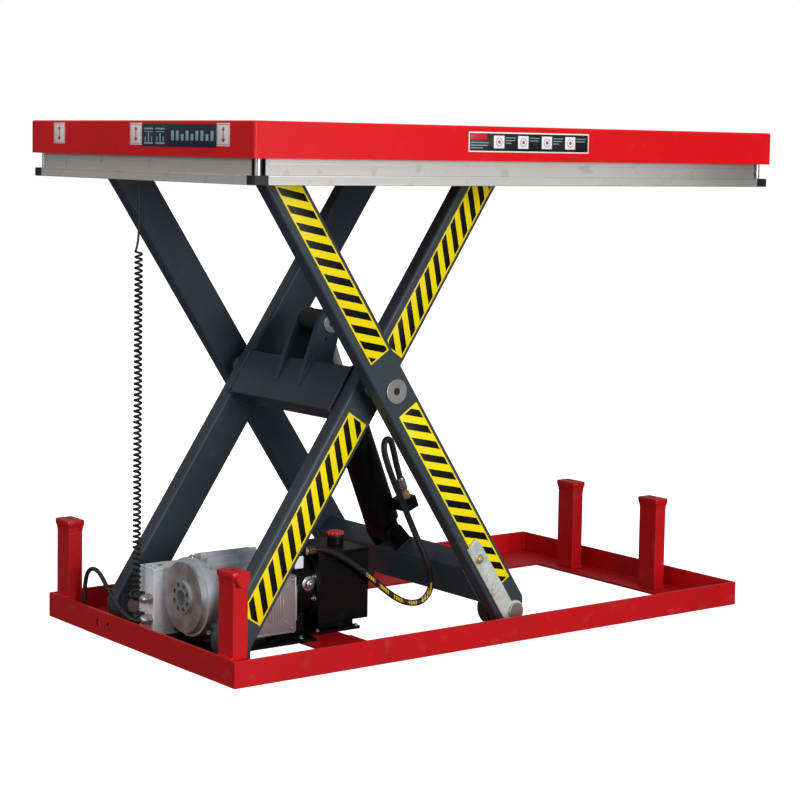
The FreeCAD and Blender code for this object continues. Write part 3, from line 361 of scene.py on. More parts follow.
@dataclass(frozen=True)
class Metal(Finish):
    """Bare or plated metal with a grain."""

    shaded: Colour = (0.2, 0.2, 0.2)
    metallic: float = 0.9
    fine: float = 260.0
    depth: float = 0.00008

    def shade(self, graph: Graph) -> None:
        """Cloudy tone, a fine grain and small marks."""
        cloud = graph.noise(14.0, 4.0).between(0.32, 0.7)
        grain = graph.noise(self.fine, 3.0)
        mark = graph.noise(70.0, 5.0, shift=(2, 6, 1)).between(0.6, 0.76)
        colour = graph.mix(cloud * 0.55, self.colour, self.shaded)
        colour = graph.mix(mark * 0.35, colour, (0.16, 0.14, 0.12))
        graph.surface(Base_Color=colour, Metallic=self.metallic,
                      Roughness=self.roughness + grain * 0.14 + mark * 0.15 - 0.07,
                      Normal=graph.bump(grain, self.depth))


@dataclass(frozen=True)
class GuardAluminium(Finish):
    """Milky extruded aluminium with handling stains, drawn along its length."""

    def shade(self, graph: Graph) -> None:
        """Long die lines, grey blots and a whitish bloom."""
        lines = graph.noise(9.0, 5.0, stretch=(0.25, 0.25, 60.0))
        bloom = graph.noise(3.2, 3.0, stretch=(1, 1, 2)).between(0.3, 0.72)
        blot = graph.noise(26.0, 4.0, stretch=(1.0, 1.0, 1.6)).between(0.57, 0.72)
        dark_end = graph.axes()[0].between(0.12, 0.66)
        colour = graph.mix(bloom * 0.35, self.colour, tint(196, 194, 188))
        colour = graph.mix(blot * 0.4, colour, tint(150, 146, 140))
        colour = graph.mix(dark_end * (bloom * 0.4 + 0.3), colour, tint(128, 122, 114))
        graph.surface(Base_Color=colour, Metallic=0.25 + dark_end * 0.3,
                      Roughness=self.roughness + lines * 0.12 + blot * 0.1,
                      Normal=graph.bump(lines, 0.0002))


@dataclass(frozen=True)
class Galvanised(Finish):
    """Hot-dipped zinc with its spangle, and a reddish stain towards one end."""

    stain_at: tuple[float, float, float] = (0.0, 0.0, -9.0)

    def shade(self, graph: Graph) -> None:
        """Flat crystals of several greys, streaks, and the stain."""
        wobble = graph.node("ShaderNodeVectorMath", {"operation": "ADD"}, {
            0: graph.place(),
            1: graph.node("ShaderNodeVectorMath", {"operation": "SCALE"}, {
                0: graph.node("ShaderNodeTexNoise", None,
                              {"Vector": graph.place(), "Scale": 60.0}, output="Color"),
                "Scale": 0.012})})
        cells = graph.node("ShaderNodeTexVoronoi", None,
                           {"Vector": wobble, "Scale": 95.0}, output="Color")
        level = graph.node("ShaderNodeRGBToBW", None, {0: cells})
        smear = graph.noise(22.0, 4.0).between(0.4, 0.66)
        colour = graph.mix(level * 0.7, self.colour, tint(232, 240, 234))
        colour = graph.mix(smear * 0.22, colour, tint(140, 140, 136))
        away = graph.distance(self.stain_at)
        rust = (1.0 - away.between(0.01, 0.05)) * graph.noise(120.0, 4.0).between(0.4, 0.62)
        colour = graph.mix(rust * 0.8, colour, tint(140, 62, 44))
        graph.surface(Base_Color=colour, Metallic=0.35 - rust * 0.3,
                      Roughness=self.roughness + level * 0.16 + rust * 0.3,
                      Normal=graph.bump(smear, 0.0002))


@dataclass(frozen=True)
class Moulded(Finish):
    """Moulded plastic or rubber."""

    grain: float = 900.0
    depth: float = 0.00006
    dust: float = 0.06

    def shade(self, graph: Graph) -> None:
        """A pebbled skin with a little dust in it."""
        skin = graph.noise(self.grain, 2.0)
        dust = graph.noise(24.0, 5.0).between(0.48, 0.74)
        lighter = tuple(min(1.0, level * 1.25 + 0.006) for level in self.colour)
        colour = graph.mix(skin * 0.4, self.colour, lighter)
        colour = graph.mix(dust * self.dust, colour, (0.35, 0.33, 0.31))
        graph.surface(Base_Color=colour, Roughness=self.roughness + dust * 0.2,
                      Normal=graph.bump(skin, self.depth))


@dataclass(frozen=True)
class PrintedHose(Finish):
    """Smooth hose cover with broken yellow marks along one side of its lower run."""

    side: tuple[float, float, float] = (-0.58, -0.77, 0.26)
    word: float = 0.034
    letter: float = 0.0052

    def shade(self, graph: Graph) -> None:
        """Marks from steps along the run, kept to one side by the surface's direction."""
        along, across, _ = graph.axes()
        facing = graph.node("ShaderNodeVectorMath", {"operation": "DOT_PRODUCT"}, {
            0: graph.node("ShaderNodeNewGeometry", output="Normal"), 1: self.side},
            output="Value")
        run = along - across * 0.35
        words = run.through(self.word) < 0.66
        letters = run.through(self.letter) < 0.62
        window = (along > -0.182) * (along < -0.03)
        ragged = graph.noise(420.0, 2.0) < 0.6
        marks = words * letters * window * ragged * facing.between(0.68, 0.76)
        skin = graph.noise(700.0, 3.0)
        colour = graph.mix(skin * 0.5, self.colour, tint(30, 31, 34))
        colour = graph.mix(marks, colour, tint(236, 196, 40))
        graph.surface(Base_Color=colour, Roughness=self.roughness + skin * 0.12,
                      Normal=graph.bump(skin, 0.00005))


@dataclass(frozen=True)
class CylinderRod(Finish):
    """Chromed rod whose welded eye is painted black."""

    eye: tuple[float, float, float] = (-0.21995, 0.0, 0.62201)
    eye_radius: float = 0.045

    def shade(self, graph: Graph) -> None:
        """Chrome, and black near the eye."""
        painted = graph.distance(self.eye) < self.eye_radius
        scratch = graph.noise(90.0, 4.0).between(0.5, 0.8)
        graph.surface(Base_Color=graph.mix(painted, self.colour, tint(14, 14, 14)),
                      Metallic=1.0 - painted,
                      Roughness=self.roughness + painted * 0.3 + scratch * 0.05)


@dataclass(frozen=True)
class IronFlange(Finish):
    """Turned end flange: a dark face round a bright windowed hub."""

    hub_radius: float = 0.0335
    face_x: float = -0.5598
    ring: float = 0.0016

    def shade(self, graph: Graph) -> None:
        """Turning rings round the motor's axis, dark outside the hub."""
        x, y, z = graph.axes()
        from_axis = ((y - MOTOR_AXIS[0]) ** 2.0 + (z - MOTOR_AXIS[1]) ** 2.0) ** 0.5
        hub = 1.0 - (from_axis > self.hub_radius) * (x < self.face_x)
        rings = from_axis.through(self.ring)
        cloud = graph.noise(30.0, 4.0).between(0.3, 0.7)
        dark = graph.mix(cloud, self.colour, tint(146, 141, 138))
        bright = graph.mix(cloud * 0.5, tint(214, 216, 218), tint(170, 172, 176))
        graph.surface(Base_Color=graph.mix(hub, dark, bright), Metallic=0.55 + hub * 0.25,
                      Roughness=self.roughness - hub * 0.1 + cloud * 0.08,
                      Normal=graph.bump(rings, 0.00004))


@dataclass(frozen=True)
class HazardTape(Finish):
    """Black and yellow slanted stripes inside a thin yellow border, along an arm."""

    tilt: float = 0.0
    middle: float = 0.0
    half_length: float = 0.1
    offset: float = 0.0
    half_width: float = 0.025
    border: float = 0.003
    period: float = 0.0386

    def shade(self, graph: Graph) -> None:
        """Stripes across the arm at half a right angle, from the place on the table."""
        x, _, z = graph.axes()
        x, z = x - PIVOT.x, z - PIVOT.z
        cosine, sine = math.cos(self.tilt), math.sin(self.tilt)
        along = x * cosine + z * sine
        over = z * cosine - x * sine
        stripe = ((along - over) % self.period) < self.period / 2
        inside = (abs(over - self.offset) < self.half_width - self.border)
        inside = inside * (abs(along - self.middle) < self.half_length - self.border)
        worn = graph.noise(60.0, 5.0).between(0.58, 0.8)
        cloud = graph.noise(9.0, 3.0)
        yellow = graph.mix(cloud * 0.3, self.colour, tint(244, 216, 6))
        colour = graph.mix(stripe * inside, yellow, tint(11, 11, 10))
        colour = graph.mix(worn * 0.08, colour, tint(120, 112, 70))
        graph.surface(Base_Color=colour, Roughness=self.roughness + worn * 0.2,
                      Specular_IOR_Level=0.2,
                      Normal=graph.bump(graph.noise(300.0, 2.0), 0.00005))


PLATFORM_RED = Paint("platform_red", "red_paint", tint(226, 0, 12), 0.4,
                     shaded=tint(212, 0, 10), dust=0.01, coat=0.06)
FRAME_RED = Paint("frame_red", "red_paint", tint(202, 10, 20), 0.4,
                  shaded=tint(180, 6, 16), dust=0.04, coat=0.15)
SLATE_PAINT = Paint("slate_paint", "grey_paint", tint(58, 69, 76), 0.42,
                    shaded=tint(46, 55, 61), dust=0.04, coat=0.1)
BLACK_PAINT = Paint("black_paint", "black_paint", tint(11, 11, 11), 0.4,
                    shaded=tint(7, 7, 7), dust=0.012, coat=0.06, shine=0.12)
ZINC = Metal("zinc_plate", "zinc_steel", tint(188, 190, 190), 0.36,
             shaded=tint(146, 146, 142), metallic=0.8)
BRIGHT_STEEL = Metal("bright_steel", "bright_steel", tint(180, 180, 182), 0.3,
                     shaded=tint(140, 140, 144), metallic=0.9)
ROLLER_STEEL = Metal("roller_steel", "bright_steel", tint(92, 82, 80), 0.36,
                     shaded=tint(62, 52, 50), metallic=0.7)
CHROME = CylinderRod("chrome_rod", "chrome_rod", tint(220, 222, 226), 0.13)
CAST_ALUMINIUM = Metal("cast_aluminium", "cast_aluminium", tint(218, 224, 228), 0.36,
                       shaded=tint(158, 165, 171), metallic=0.42, fine=520.0, depth=0.0002)
COVER_SILVER = Metal("cover_silver", "cover_silver", tint(164, 152, 154), 0.4,
                     shaded=tint(142, 130, 132), metallic=0.5, fine=520.0)
BOX_GREY = Metal("box_grey", "box_grey", tint(244, 248, 250), 0.48,
                 shaded=tint(232, 236, 238), metallic=0.0, fine=420.0, depth=0.0001)
BRASS = Metal("brass", "brass", tint(208, 190, 146), 0.34,
              shaded=tint(172, 150, 104), metallic=0.6)
GUARD = GuardAluminium("guard_aluminium", "guard_aluminium", tint(204, 203, 198), 0.4)
PROP_ZINC = Galvanised("prop_zinc", "zinc_steel", tint(208, 216, 211), 0.34,
                       stain_at=(-0.012, -0.2975, 0.085))
IRON_FLANGE = IronFlange("iron_flange", "flange_iron", tint(188, 184, 181), 0.38)
BLACK_PLASTIC = Moulded("black_plastic", "black_plastic", tint(20, 20, 21), 0.44)
RED_PLASTIC = Moulded("red_plastic", "red_plastic", tint(196, 34, 34), 0.4)
RUBBER = Moulded("rubber", "rubber", tint(17, 17, 18), 0.5, dust=0.04)
RELAY_PLASTIC = Moulded("relay_plastic", "relay_plastic", tint(60, 62, 66), 0.5)
PRINTED_HOSE = PrintedHose("printed_hose", "rubber", tint(18, 18, 20), 0.38)
LABEL_WHITE = Moulded("label_white", "relay_plastic", tint(236, 236, 234), 0.3, dust=0.02)
LABEL_BLACK = Moulded("label_black", "black_plastic", tint(16, 16, 17), 0.3, dust=0.02)
LABEL_NAVY = Moulded("label_navy", "black_plastic", tint(26, 36, 52), 0.3, dust=0.02)
LABEL_BLUE = Moulded("label_blue", "relay_plastic", tint(150, 172, 184), 0.3, dust=0.02)
LABEL_RED = Moulded("label_red", "red_plastic", tint(206, 30, 38), 0.3, dust=0.02)


# ------------------------------------------------------------------ meshes

class Axis(Enum):
    """The direction that a round piece points in."""

    X = (1.0, 0.0, 0.0)
    Y = (0.0, 1.0, 0.0)
    Z = (0.0, 0.0, 1.0)
    TOWARDS_FRONT = (0.0, -1.0, 0.0)
    TOWARDS_LEFT = (-1.0, 0.0, 0.0)


def turn_to(direction: Union[Axis, Vector]) -> Matrix:
    """The turn that takes +Z to a direction.

    Args:
        direction: an axis or any vector.

    Returns:
        A 4x4 rotation.
    """
    way = Vector(direction.value) if isinstance(direction, Axis) else direction
    return Vector((0, 0, 1)).rotation_difference(way).to_matrix().to_4x4()


class Shape:
    """A mesh that grows by bmesh operators and is published as one piece."""

    def __init__(self) -> None:
        """Starts with nothing in it."""
        self.mesh = bmesh.new()

    def block(self, low: Vector, high: Vector, round_by: float = 0.0,
              frame: Optional[Matrix] = None) -> list[bmesh.types.BMVert]:
        """A rectangular block with rounded edges.

        Args:
            low: its lowest corner.
            high: its highest corner.
            round_by: the width of its bevels.
            frame: a matrix that stands it somewhere else.

        Returns:
            Its vertices.
        """
        made = bmesh.ops.create_cube(self.mesh, size=1.0)["verts"]
        span, middle = Vector(high) - Vector(low), (Vector(high) + Vector(low)) / 2
        matrix = Matrix.Translation(middle) @ Matrix.Diagonal((*span, 1.0))
        bmesh.ops.transform(self.mesh, matrix=(frame or Matrix()) @ matrix, verts=made)
        if round_by:
            made = self.bevel(made, round_by)
        return made

    def bevel(self, verts: list[bmesh.types.BMVert],
              width: float) -> list[bmesh.types.BMVert]:
        """Bevels every sharp edge between some vertices.

        Args:
            verts: the vertices.
            width: how wide the bevel is.

        Returns:
            The vertices of the whole bevelled form.
        """
        known = set(verts)
        edges = {edge for vert in verts for edge in vert.link_edges
                 if edge.calc_face_angle(0.0) > SMOOTH_LIMIT}
        others = {vert for vert in self.mesh.verts if vert not in known}
        bmesh.ops.bevel(self.mesh, geom=list(edges), offset=width, segments=2,
                        profile=0.5, affect="EDGES", material=-1)
        return [vert for vert in self.mesh.verts if vert not in others]

    def disc(self, base: Vector, direction: Union[Axis, Vector], radius: float, length: float,
             sides: int = 40, round_by: float = 0.0,
             far_radius: Optional[float] = None) -> None:
        """A round, hexagonal or tapered piece that stands on its base's middle.

        Args:
            base: the middle of its first face.
            direction: where it points.
            radius: its radius at the base.
            length: its length.
            sides: 6 for a hexagon and many for a round.
            round_by: the width of its bevels.
            far_radius: its radius at the other end, if another one.
        """
        made = bmesh.ops.create_cone(
            self.mesh, cap_ends=True, segments=sides, radius1=radius,
            radius2=radius if far_radius is None else far_radius, depth=length)["verts"]
        matrix = (Matrix.Translation(base) @ turn_to(direction)
                  @ Matrix.Translation((0, 0, length / 2)))
        bmesh.ops.transform(self.mesh, matrix=matrix, verts=made)
        if round_by:
            self.bevel(made, round_by)

    def turned(self, outline: Sequence[tuple[float, float]], base: Vector,
               direction: Union[Axis, Vector], steps: int = 48) -> None:
        """A piece turned on a lathe.

        Args:
            outline: radius and height of each point, from the axis round to the axis.
            base: the point that height 0 stands on.
            direction: where the heights point.
            steps: how many steps the turn has.
        """
        verts = [self.mesh.verts.new((radius, 0.0, height)) for radius, height in outline]
        edges = [self.mesh.edges.new(pair) for pair in zip(verts, verts[1:])]
        before = set(self.mesh.verts) - set(verts)
        bmesh.ops.spin(self.mesh, geom=verts + edges, cent=(0, 0, 0), axis=(0, 0, 1),
                       angle=math.tau, steps=steps, use_merge=True)
        made = [vert for vert in self.mesh.verts if vert not in before]
        bmesh.ops.remove_doubles(self.mesh, verts=made, dist=1e-6)
        made = [vert for vert in self.mesh.verts if vert not in before]
        bmesh.ops.transform(self.mesh, verts=made,
                            matrix=Matrix.Translation(base) @ turn_to(direction))

    def bolt(self, base: Vector, direction: Union[Axis, Vector], radius: float) -> None:
        """A hexagon head on a washer, with the end of its thread."""
        way = Vector(direction.value) if isinstance(direction, Axis) else direction.normalized()
        self.disc(base, way, radius * 1.75, radius * 0.28, 32, radius * 0.06)
        self.disc(base + way * radius * 0.28, way, radius * 1.12, radius * 0.8, 6, radius * 0.1)
        self.disc(base + way * radius * 1.05, way, radius * 0.55, radius * 0.5, 20,
                  radius * 0.08)

    def weld(self, start: Vector, end: Vector, radius: float) -> None:
        """A run of overlapping welded beads from one point to another."""
        run = end - start
        count = max(3, int(run.length / (radius * 0.9)))
        for index in range(count + 1):
            made = bmesh.ops.create_icosphere(self.mesh, subdivisions=1, radius=radius)["verts"]
            swell = 1.0 + 0.16 * math.sin(index * 2.3)
            matrix = (Matrix.Translation(start + run * index / count)
                      @ turn_to(run) @ Matrix.Diagonal((swell, swell, 0.75, 1.0)))
            bmesh.ops.transform(self.mesh, matrix=matrix, verts=made)

    def publish(self, name: str, body: str, finish: Finish,
                replaced: Sequence[str] = ()) -> None:
        """Makes the piece, and rides it on its body.

        Args:
            name: the piece's name.
            body: the body that it moves with.
            finish: its finish.
            replaced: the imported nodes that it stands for.
        """
        bmesh.ops.recalc_face_normals(self.mesh, faces=self.mesh.faces)
        mark_smooth(self.mesh)
        data = bpy.data.meshes.new(name)
        self.mesh.to_mesh(data)
        self.mesh.free()
        publish_data(name, data, body, finish, replaced)


def mark_smooth(mesh: bmesh.types.BMesh) -> None:
    """Shades a mesh smooth up to the limit angle and sharp past it."""
    for face in mesh.faces:
        face.smooth = True
    for edge in mesh.edges:
        edge.smooth = edge.calc_face_angle(0.0) < SMOOTH_LIMIT


def publish_data(name: str, data: bpy.types.Mesh, body: str, finish: Finish,
                 replaced: Sequence[str] = ()) -> bpy.types.Object:
    """Puts mesh data in the scene as a piece.

    Args:
        name: the piece's name.
        data: its mesh.
        body: the body that it moves with.
        finish: its finish.
        replaced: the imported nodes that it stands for.

    Returns:
        The object.
    """
    data.materials.clear()
    data.materials.append(material(finish))
    piece = bpy.data.objects.new(name, data)
    bpy.context.scene.collection.objects.link(piece)
    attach(piece, body)
    if replaced:
        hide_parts(*replaced)
    LOG.info("%s on %s, %d faces, %s", name, body, len(data.polygons), finish.name)
    return piece


class Table:
    """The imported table: its nodes, and which body each rides on."""

    def __init__(self, packed: dict) -> None:
        """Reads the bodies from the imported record."""
        self.nodes = packed["nodes"]
        bodies = packed["record"]["behaviour"]["bodies"]
        self.body = {node: body for body, nodes in bodies.items() for node in nodes}

    def paint(self, finish: Finish, *names: str) -> None:
        """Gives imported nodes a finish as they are.

        Args:
            finish: the finish.
            names: the nodes.
        """
        for name in names:
            piece = self.nodes[name]
            piece.data.materials.clear()
            piece.data.materials.append(material(finish))
            LOG.info("%s keeps its packed shape, %s", name, finish.name)

    def soften(self, finish: Finish, width: float, *names: str) -> None:
        """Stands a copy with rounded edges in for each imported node.

        Args:
            finish: the finish.
            width: how wide the rounding is.
            names: the nodes.
        """
        for name in names:
            mesh = bmesh.new()
            mesh.from_mesh(self.nodes[name].data)
            bmesh.ops.remove_doubles(mesh, verts=mesh.verts, dist=SAME_POINT)
            bmesh.ops.dissolve_limit(mesh, angle_limit=FLAT_LIMIT, verts=mesh.verts,
                                     edges=mesh.edges)
            mark_smooth(mesh)
            data = bpy.data.meshes.new(f"{name}_form")
            mesh.to_mesh(data)
            mesh.free()
            piece = publish_data(f"{name}_form", data, self.body[name], finish, [name])
            rounding = piece.modifiers.new("edges", "BEVEL")
            rounding.width = width
            rounding.segments = 2
            rounding.limit_method = "ANGLE"
            rounding.angle_limit = CREASE_LIMIT
            rounding.harden_normals = True
            rounding.use_clamp_overlap = True


# ------------------------------------------------------------------ base frame

@dataclass
class BaseFrame:
    """Red angle frame with its four capped posts and their welds."""

    left_post: tuple[float, float, float, float] = (-632, -334, 32, 50)
    right_post: tuple[float, float, float, float] = (590, -163, 30, 53)
    cap_low: float = 198
    cap_top: float = 208
    cap_lip: float = 3
    neck_drop: float = 13
    neck_skin: float = 0.4

    def build(self, table: Table) -> None:
        """Dresses the rails and posts, and makes the caps and welds."""
        table.soften(FRAME_RED, 0.0012, "front_rail", "back_rail", "left_end_rail",
                     "right_end_rail", "cross_plate")
        table.soften(FRAME_RED, 0.0022, "corner_posts")
        table.soften(SLATE_PAINT, 0.0008, "base_pivot_brackets")
        table.paint(ZINC, "base_pivot_pins")
        self.caps()
        self.welds()

    def corners(self) -> list[tuple[float, float, float, float]]:
        """Low corner and size of all four posts, in millimetres."""
        found = []
        for x, y, length, width in (self.left_post, self.right_post):
            found += [(x, y, length, width), (x, -y - width, length, width)]
        return found

    def caps(self) -> None:
        """Caps with a flared neck under the plate, and a thin black sheet on top that paints the
        shade of a slot.
        """
        caps, slot_shade = Shape(), Shape()
        low, high, lip, skin = self.cap_low, self.cap_top, self.cap_lip, self.neck_skin
        for x, y, length, width in self.corners():
            caps.block(mm(x - lip, y - lip, low - 1),
                       mm(x + length + lip, y + width + lip, high), 0.0018)
            neck_end = mm(x + length + skin, y + width + skin, low)
            caps.block(mm(x - skin, y - skin, low - self.neck_drop), neck_end, 0.001)
            neck = caps.block(mm(x - skin, y - skin, low - 7), neck_end)
            middle = mm(x + length / 2, y + width / 2, low - 3)
            top = [vert for vert in neck if vert.co.z > middle.z]
            spread = 2 * (lip - 1.4)
            bmesh.ops.scale(caps.mesh, vec=(1.0 + spread / length, 1.0 + spread / width, 1.0),
                            space=Matrix.Translation(-middle), verts=top)
            caps.block(mm(x + length * 0.36, y + width * 0.34, high - 0.3),
                       mm(x + length * 0.64, y + width * 0.66, high + 0.5), 0.0003)
            # the slot is not cut: a thin black sheet on the raised boss paints its shade
            slot_shade.block(mm(x + length * 0.4, y + width * 0.38, high + 0.4),
                        mm(x + length * 0.6, y + width * 0.62, high + 0.7))
        x, y, length, _ = self.left_post
        caps.turned([(0, 0), (0.0132, 0), (0.014, 0.0008), (0.014, 0.0085), (0.0128, 0.0108),
                     (0, 0.0108)], mm(x + length / 2, y, high - 14), Axis.TOWARDS_FRONT)
        caps.publish("post_cap_forms", "base", FRAME_RED, ["post_caps"])
        slot_shade.publish("post_cap_slot_shade", "base", BLACK_PAINT)

    def welds(self) -> None:
        """Beads round the feet of the posts and along the frame's inner corners."""
        beads = Shape()
        for x, y, length, width in self.corners():
            for start, end in ((mm(x, y, 6.5), mm(x + length, y, 6.5)),
                               (mm(x + length, y, 6.5), mm(x + length, y + width, 6.5)),
                               (mm(x + length, y + width, 6.5), mm(x, y + width, 6.5))):
                beads.weld(start, end, 0.0032)
        for x, y, length, width in self.corners()[:2]:
            beads.weld(mm(x, y + 2, 50), mm(x, y + width - 2, 50), 0.0028)
        for side in (-1, 1):
            for x in (-633.5, 643.5):
                beads.weld(mm(x, side * 346, 8), mm(x, side * 346, 48), 0.0028)
            for x in (-343, -237):
                beads.weld(mm(x, side * 205, 6.2), mm(x + 1, side * 150, 6.2), 0.0022)
        beads.publish("frame_welds", "base", FRAME_RED)


# ------------------------------------------------------------------ scissor arms

@dataclass(frozen=True)
class ArmLine:
    """A pair of parallel arms: s runs along them from the middle pivot and n across."""

    tilt: float

    def frame(self) -> Matrix:
        """The matrix from s, y and n to the table."""
        return Matrix.Translation(PIVOT) @ Matrix.Rotation(-self.tilt, 4, "Y")

    def point(self, s: float, y: float, n: float) -> Vector:
        """A point of the arm given in millimetres."""
        return self.frame() @ mm(s, y, n)


OUTER = ArmLine(-LIFT_ANGLE)
INNER = ArmLine(LIFT_ANGLE)
OUTWARD = ((-1, Axis.TOWARDS_FRONT), (1, Axis.Y))
WIDE_BEAD = 0.0032
NARROW_BEAD = 0.0026
INNER_SEAMS = (
    (179, (-78, -8), (18, -8), WIDE_BEAD), (179, (-78, 42), (18, 42), WIDE_BEAD),
    (179, (-80, -6), (-80, 40), WIDE_BEAD), (179, (20, -6), (20, 40), WIDE_BEAD),
    (46, (20.5, -6), (20.5, 40), NARROW_BEAD), (46, (-38, 42.5), (18, 42.5), NARROW_BEAD))
OUTER_SEAMS = (
    (255, (425, -38), (510, -38), WIDE_BEAD), (255, (425, 12), (510, 12), WIDE_BEAD),
    (255, (422.5, -36), (422.5, 10), WIDE_BEAD), (255, (512.5, -36), (512.5, 10), WIDE_BEAD),
    (40, (422, -36), (422, 6), NARROW_BEAD))


@dataclass
class ScissorArms:
    """The crossed arms with their cross members, pins, rollers and warning tape."""

    outer_face: float = 291
    inner_face: float = 215
    tape_offset: float = 4
    tape_thick: float = 0.35
    outer_runs: tuple[tuple[float, float], ...] = ((-500, -78), (47, 490))
    inner_runs: tuple[tuple[float, float], ...] = ((-508, -68), (84, 500))

    def build(self, table: Table) -> None:
        """Dresses the arms, then adds the tape and the welds."""
        table.soften(SLATE_PAINT, 0.0008, "outer_arm_front", "outer_arm_back",
                     "inner_arm_front", "inner_arm_back")
        table.soften(SLATE_PAINT, 0.003, "crossbeam", "lower_cross_tube")
        table.soften(SLATE_PAINT, 0.0014, "clevis_cheeks")
        table.soften(BLACK_PAINT, 0.0014, "cylinder_lugs")
        table.soften(ZINC, 0.0009, "outer_arm_pins", "inner_arm_pins")
        table.soften(ROLLER_STEEL, 0.0015, "lower_rollers", "upper_rollers")
        self.tape()
        self.pin_details()
        self.welds()

    def tape(self) -> None:
        """Striped tape above and below the middle pivot on every arm's outer face."""
        for arm, line, face, offset, runs in (
                ("outer", OUTER, self.outer_face, self.tape_offset, self.outer_runs),
                ("inner", INNER, self.inner_face, -self.tape_offset, self.inner_runs)):
            for part, (start, end) in zip(("first", "second"), runs):
                finish = HazardTape(f"tape_{arm}_{part}", "black_plastic",
                                    tint(255, 234, 4), 0.4, tilt=line.tilt,
                                    middle=(start + end) / 2000,
                                    half_length=(end - start) / 2000, offset=offset / 1000)
                strip = Shape()
                for side in (-1, 1):
                    near, far = sorted((side * face, side * (face + self.tape_thick)))
                    strip.block(mm(start, near, offset - 25), mm(end, far, offset + 25),
                                0.0001, line.frame())
                strip.publish(f"tape_{arm}_{part}", f"{arm}_arms", finish)

    def pin_details(self) -> None:
        """Black discs that paint the shade in the sockets of the middle pins' washers and in the
        centres of the clevis pins.
        """
        socket_shade, centre_shade = Shape(), Shape()
        # thin black discs stand in for the shade inside the sockets
        for side, way in OUTWARD:
            socket_shade.disc(OUTER.point(0, side * (self.outer_face + 3.9), 0), way, 0.0072, 0.0003,
                       32)
            centre_shade.disc(INNER.point(103.5, side * 50.8, 45.7), way, 0.0068, 0.0006, 32)
        socket_shade.publish("pivot_socket_shade", "outer_arms", BLACK_PLASTIC)
        centre_shade.publish("clevis_pin_socket_shade", "inner_arms", BLACK_PLASTIC)

    def welds(self) -> None:
        """Beads where the cross members and cheeks meet."""
        for arm, line, seams in (("inner", INNER, INNER_SEAMS), ("outer", OUTER, OUTER_SEAMS)):
            beads = Shape()
            for side in (-1, 1):
                for y, (s0, n0), (s1, n1), radius in seams:
                    beads.weld(line.point(s0, side * y, n0), line.point(s1, side * y, n1),
                               radius)
            beads.publish(f"{arm}_arm_welds", f"{arm}_arms", SLATE_PAINT)


@dataclass
class SafetyProp:
    """The pointed galvanised prop with the bolt that it hangs on when folded."""

    bolt_at: tuple[float, float, float] = (-29, -297.5, 163)

    def build(self, table: Table) -> None:
        """Dresses the plate and adds the bolt."""
        table.soften(PROP_ZINC, 0.0009, "safety_prop")
        bolt = Shape()
        bolt.bolt(mm(*self.bolt_at), Axis.TOWARDS_FRONT, 0.006)
        bolt.publish("prop_bolt", "prop", BRASS)


# ------------------------------------------------------------------ cylinder

@dataclass
class HydraulicCylinder:
    """The lift cylinder with its hose fitting."""

    foot: tuple[float, float, float] = (-39.75, 0.0, 175.07)
    eye: tuple[float, float, float] = (-219.95, 0.0, 622.01)

    def build(self, table: Table) -> None:
        """Dresses the cylinder and makes its hose fitting."""
        table.soften(BLACK_PAINT, 0.0016, "cylinder_barrel", "port_block", "cylinder_gland")
        table.paint(CHROME, "piston_rod")
        self.fitting()

    def point(self, along: float, y: float, across: float) -> Vector:
        """A point of the cylinder: along runs from the foot to the eye."""
        way = (mm(*self.eye) - mm(*self.foot)).normalized()
        side = Vector((way.z, 0.0, -way.x))
        return (mm(*self.foot) + way * along * MILLIMETRE - side * across * MILLIMETRE
                + mm(0, y, 0))

    def fitting(self) -> None:
        """A brass swivel nut with a crimped sleeve above it."""
        base = self.point(70, -62, -36)
        way = (self.point(80, -62, -36) - base).normalized()
        nut = Shape()
        nut.disc(base, way, 0.0098, 0.013, 6, 0.0008)
        nut.disc(base + way * 0.013, way, 0.0072, 0.009, 32, 0.0006)
        nut.publish("hose_swivel_nut", "barrel", BRASS, ["hose_fitting"])
        sleeve = Shape()
        outline = [(0.0, 0.0), (0.0078, 0.0)]
        for ring in range(4):
            low = 0.002 + ring * 0.0058
            outline += [(0.0088, low), (0.0088, low + 0.0034), (0.0081, low + 0.0042),
                        (0.0081, low + 0.005)]
        outline += [(0.0072, 0.0268), (0.0, 0.0268)]
        sleeve.turned(outline, base + way * 0.0195, way)
        sleeve.publish("hose_crimp_sleeve", "barrel", BRIGHT_STEEL)


# ------------------------------------------------------------------ power unit

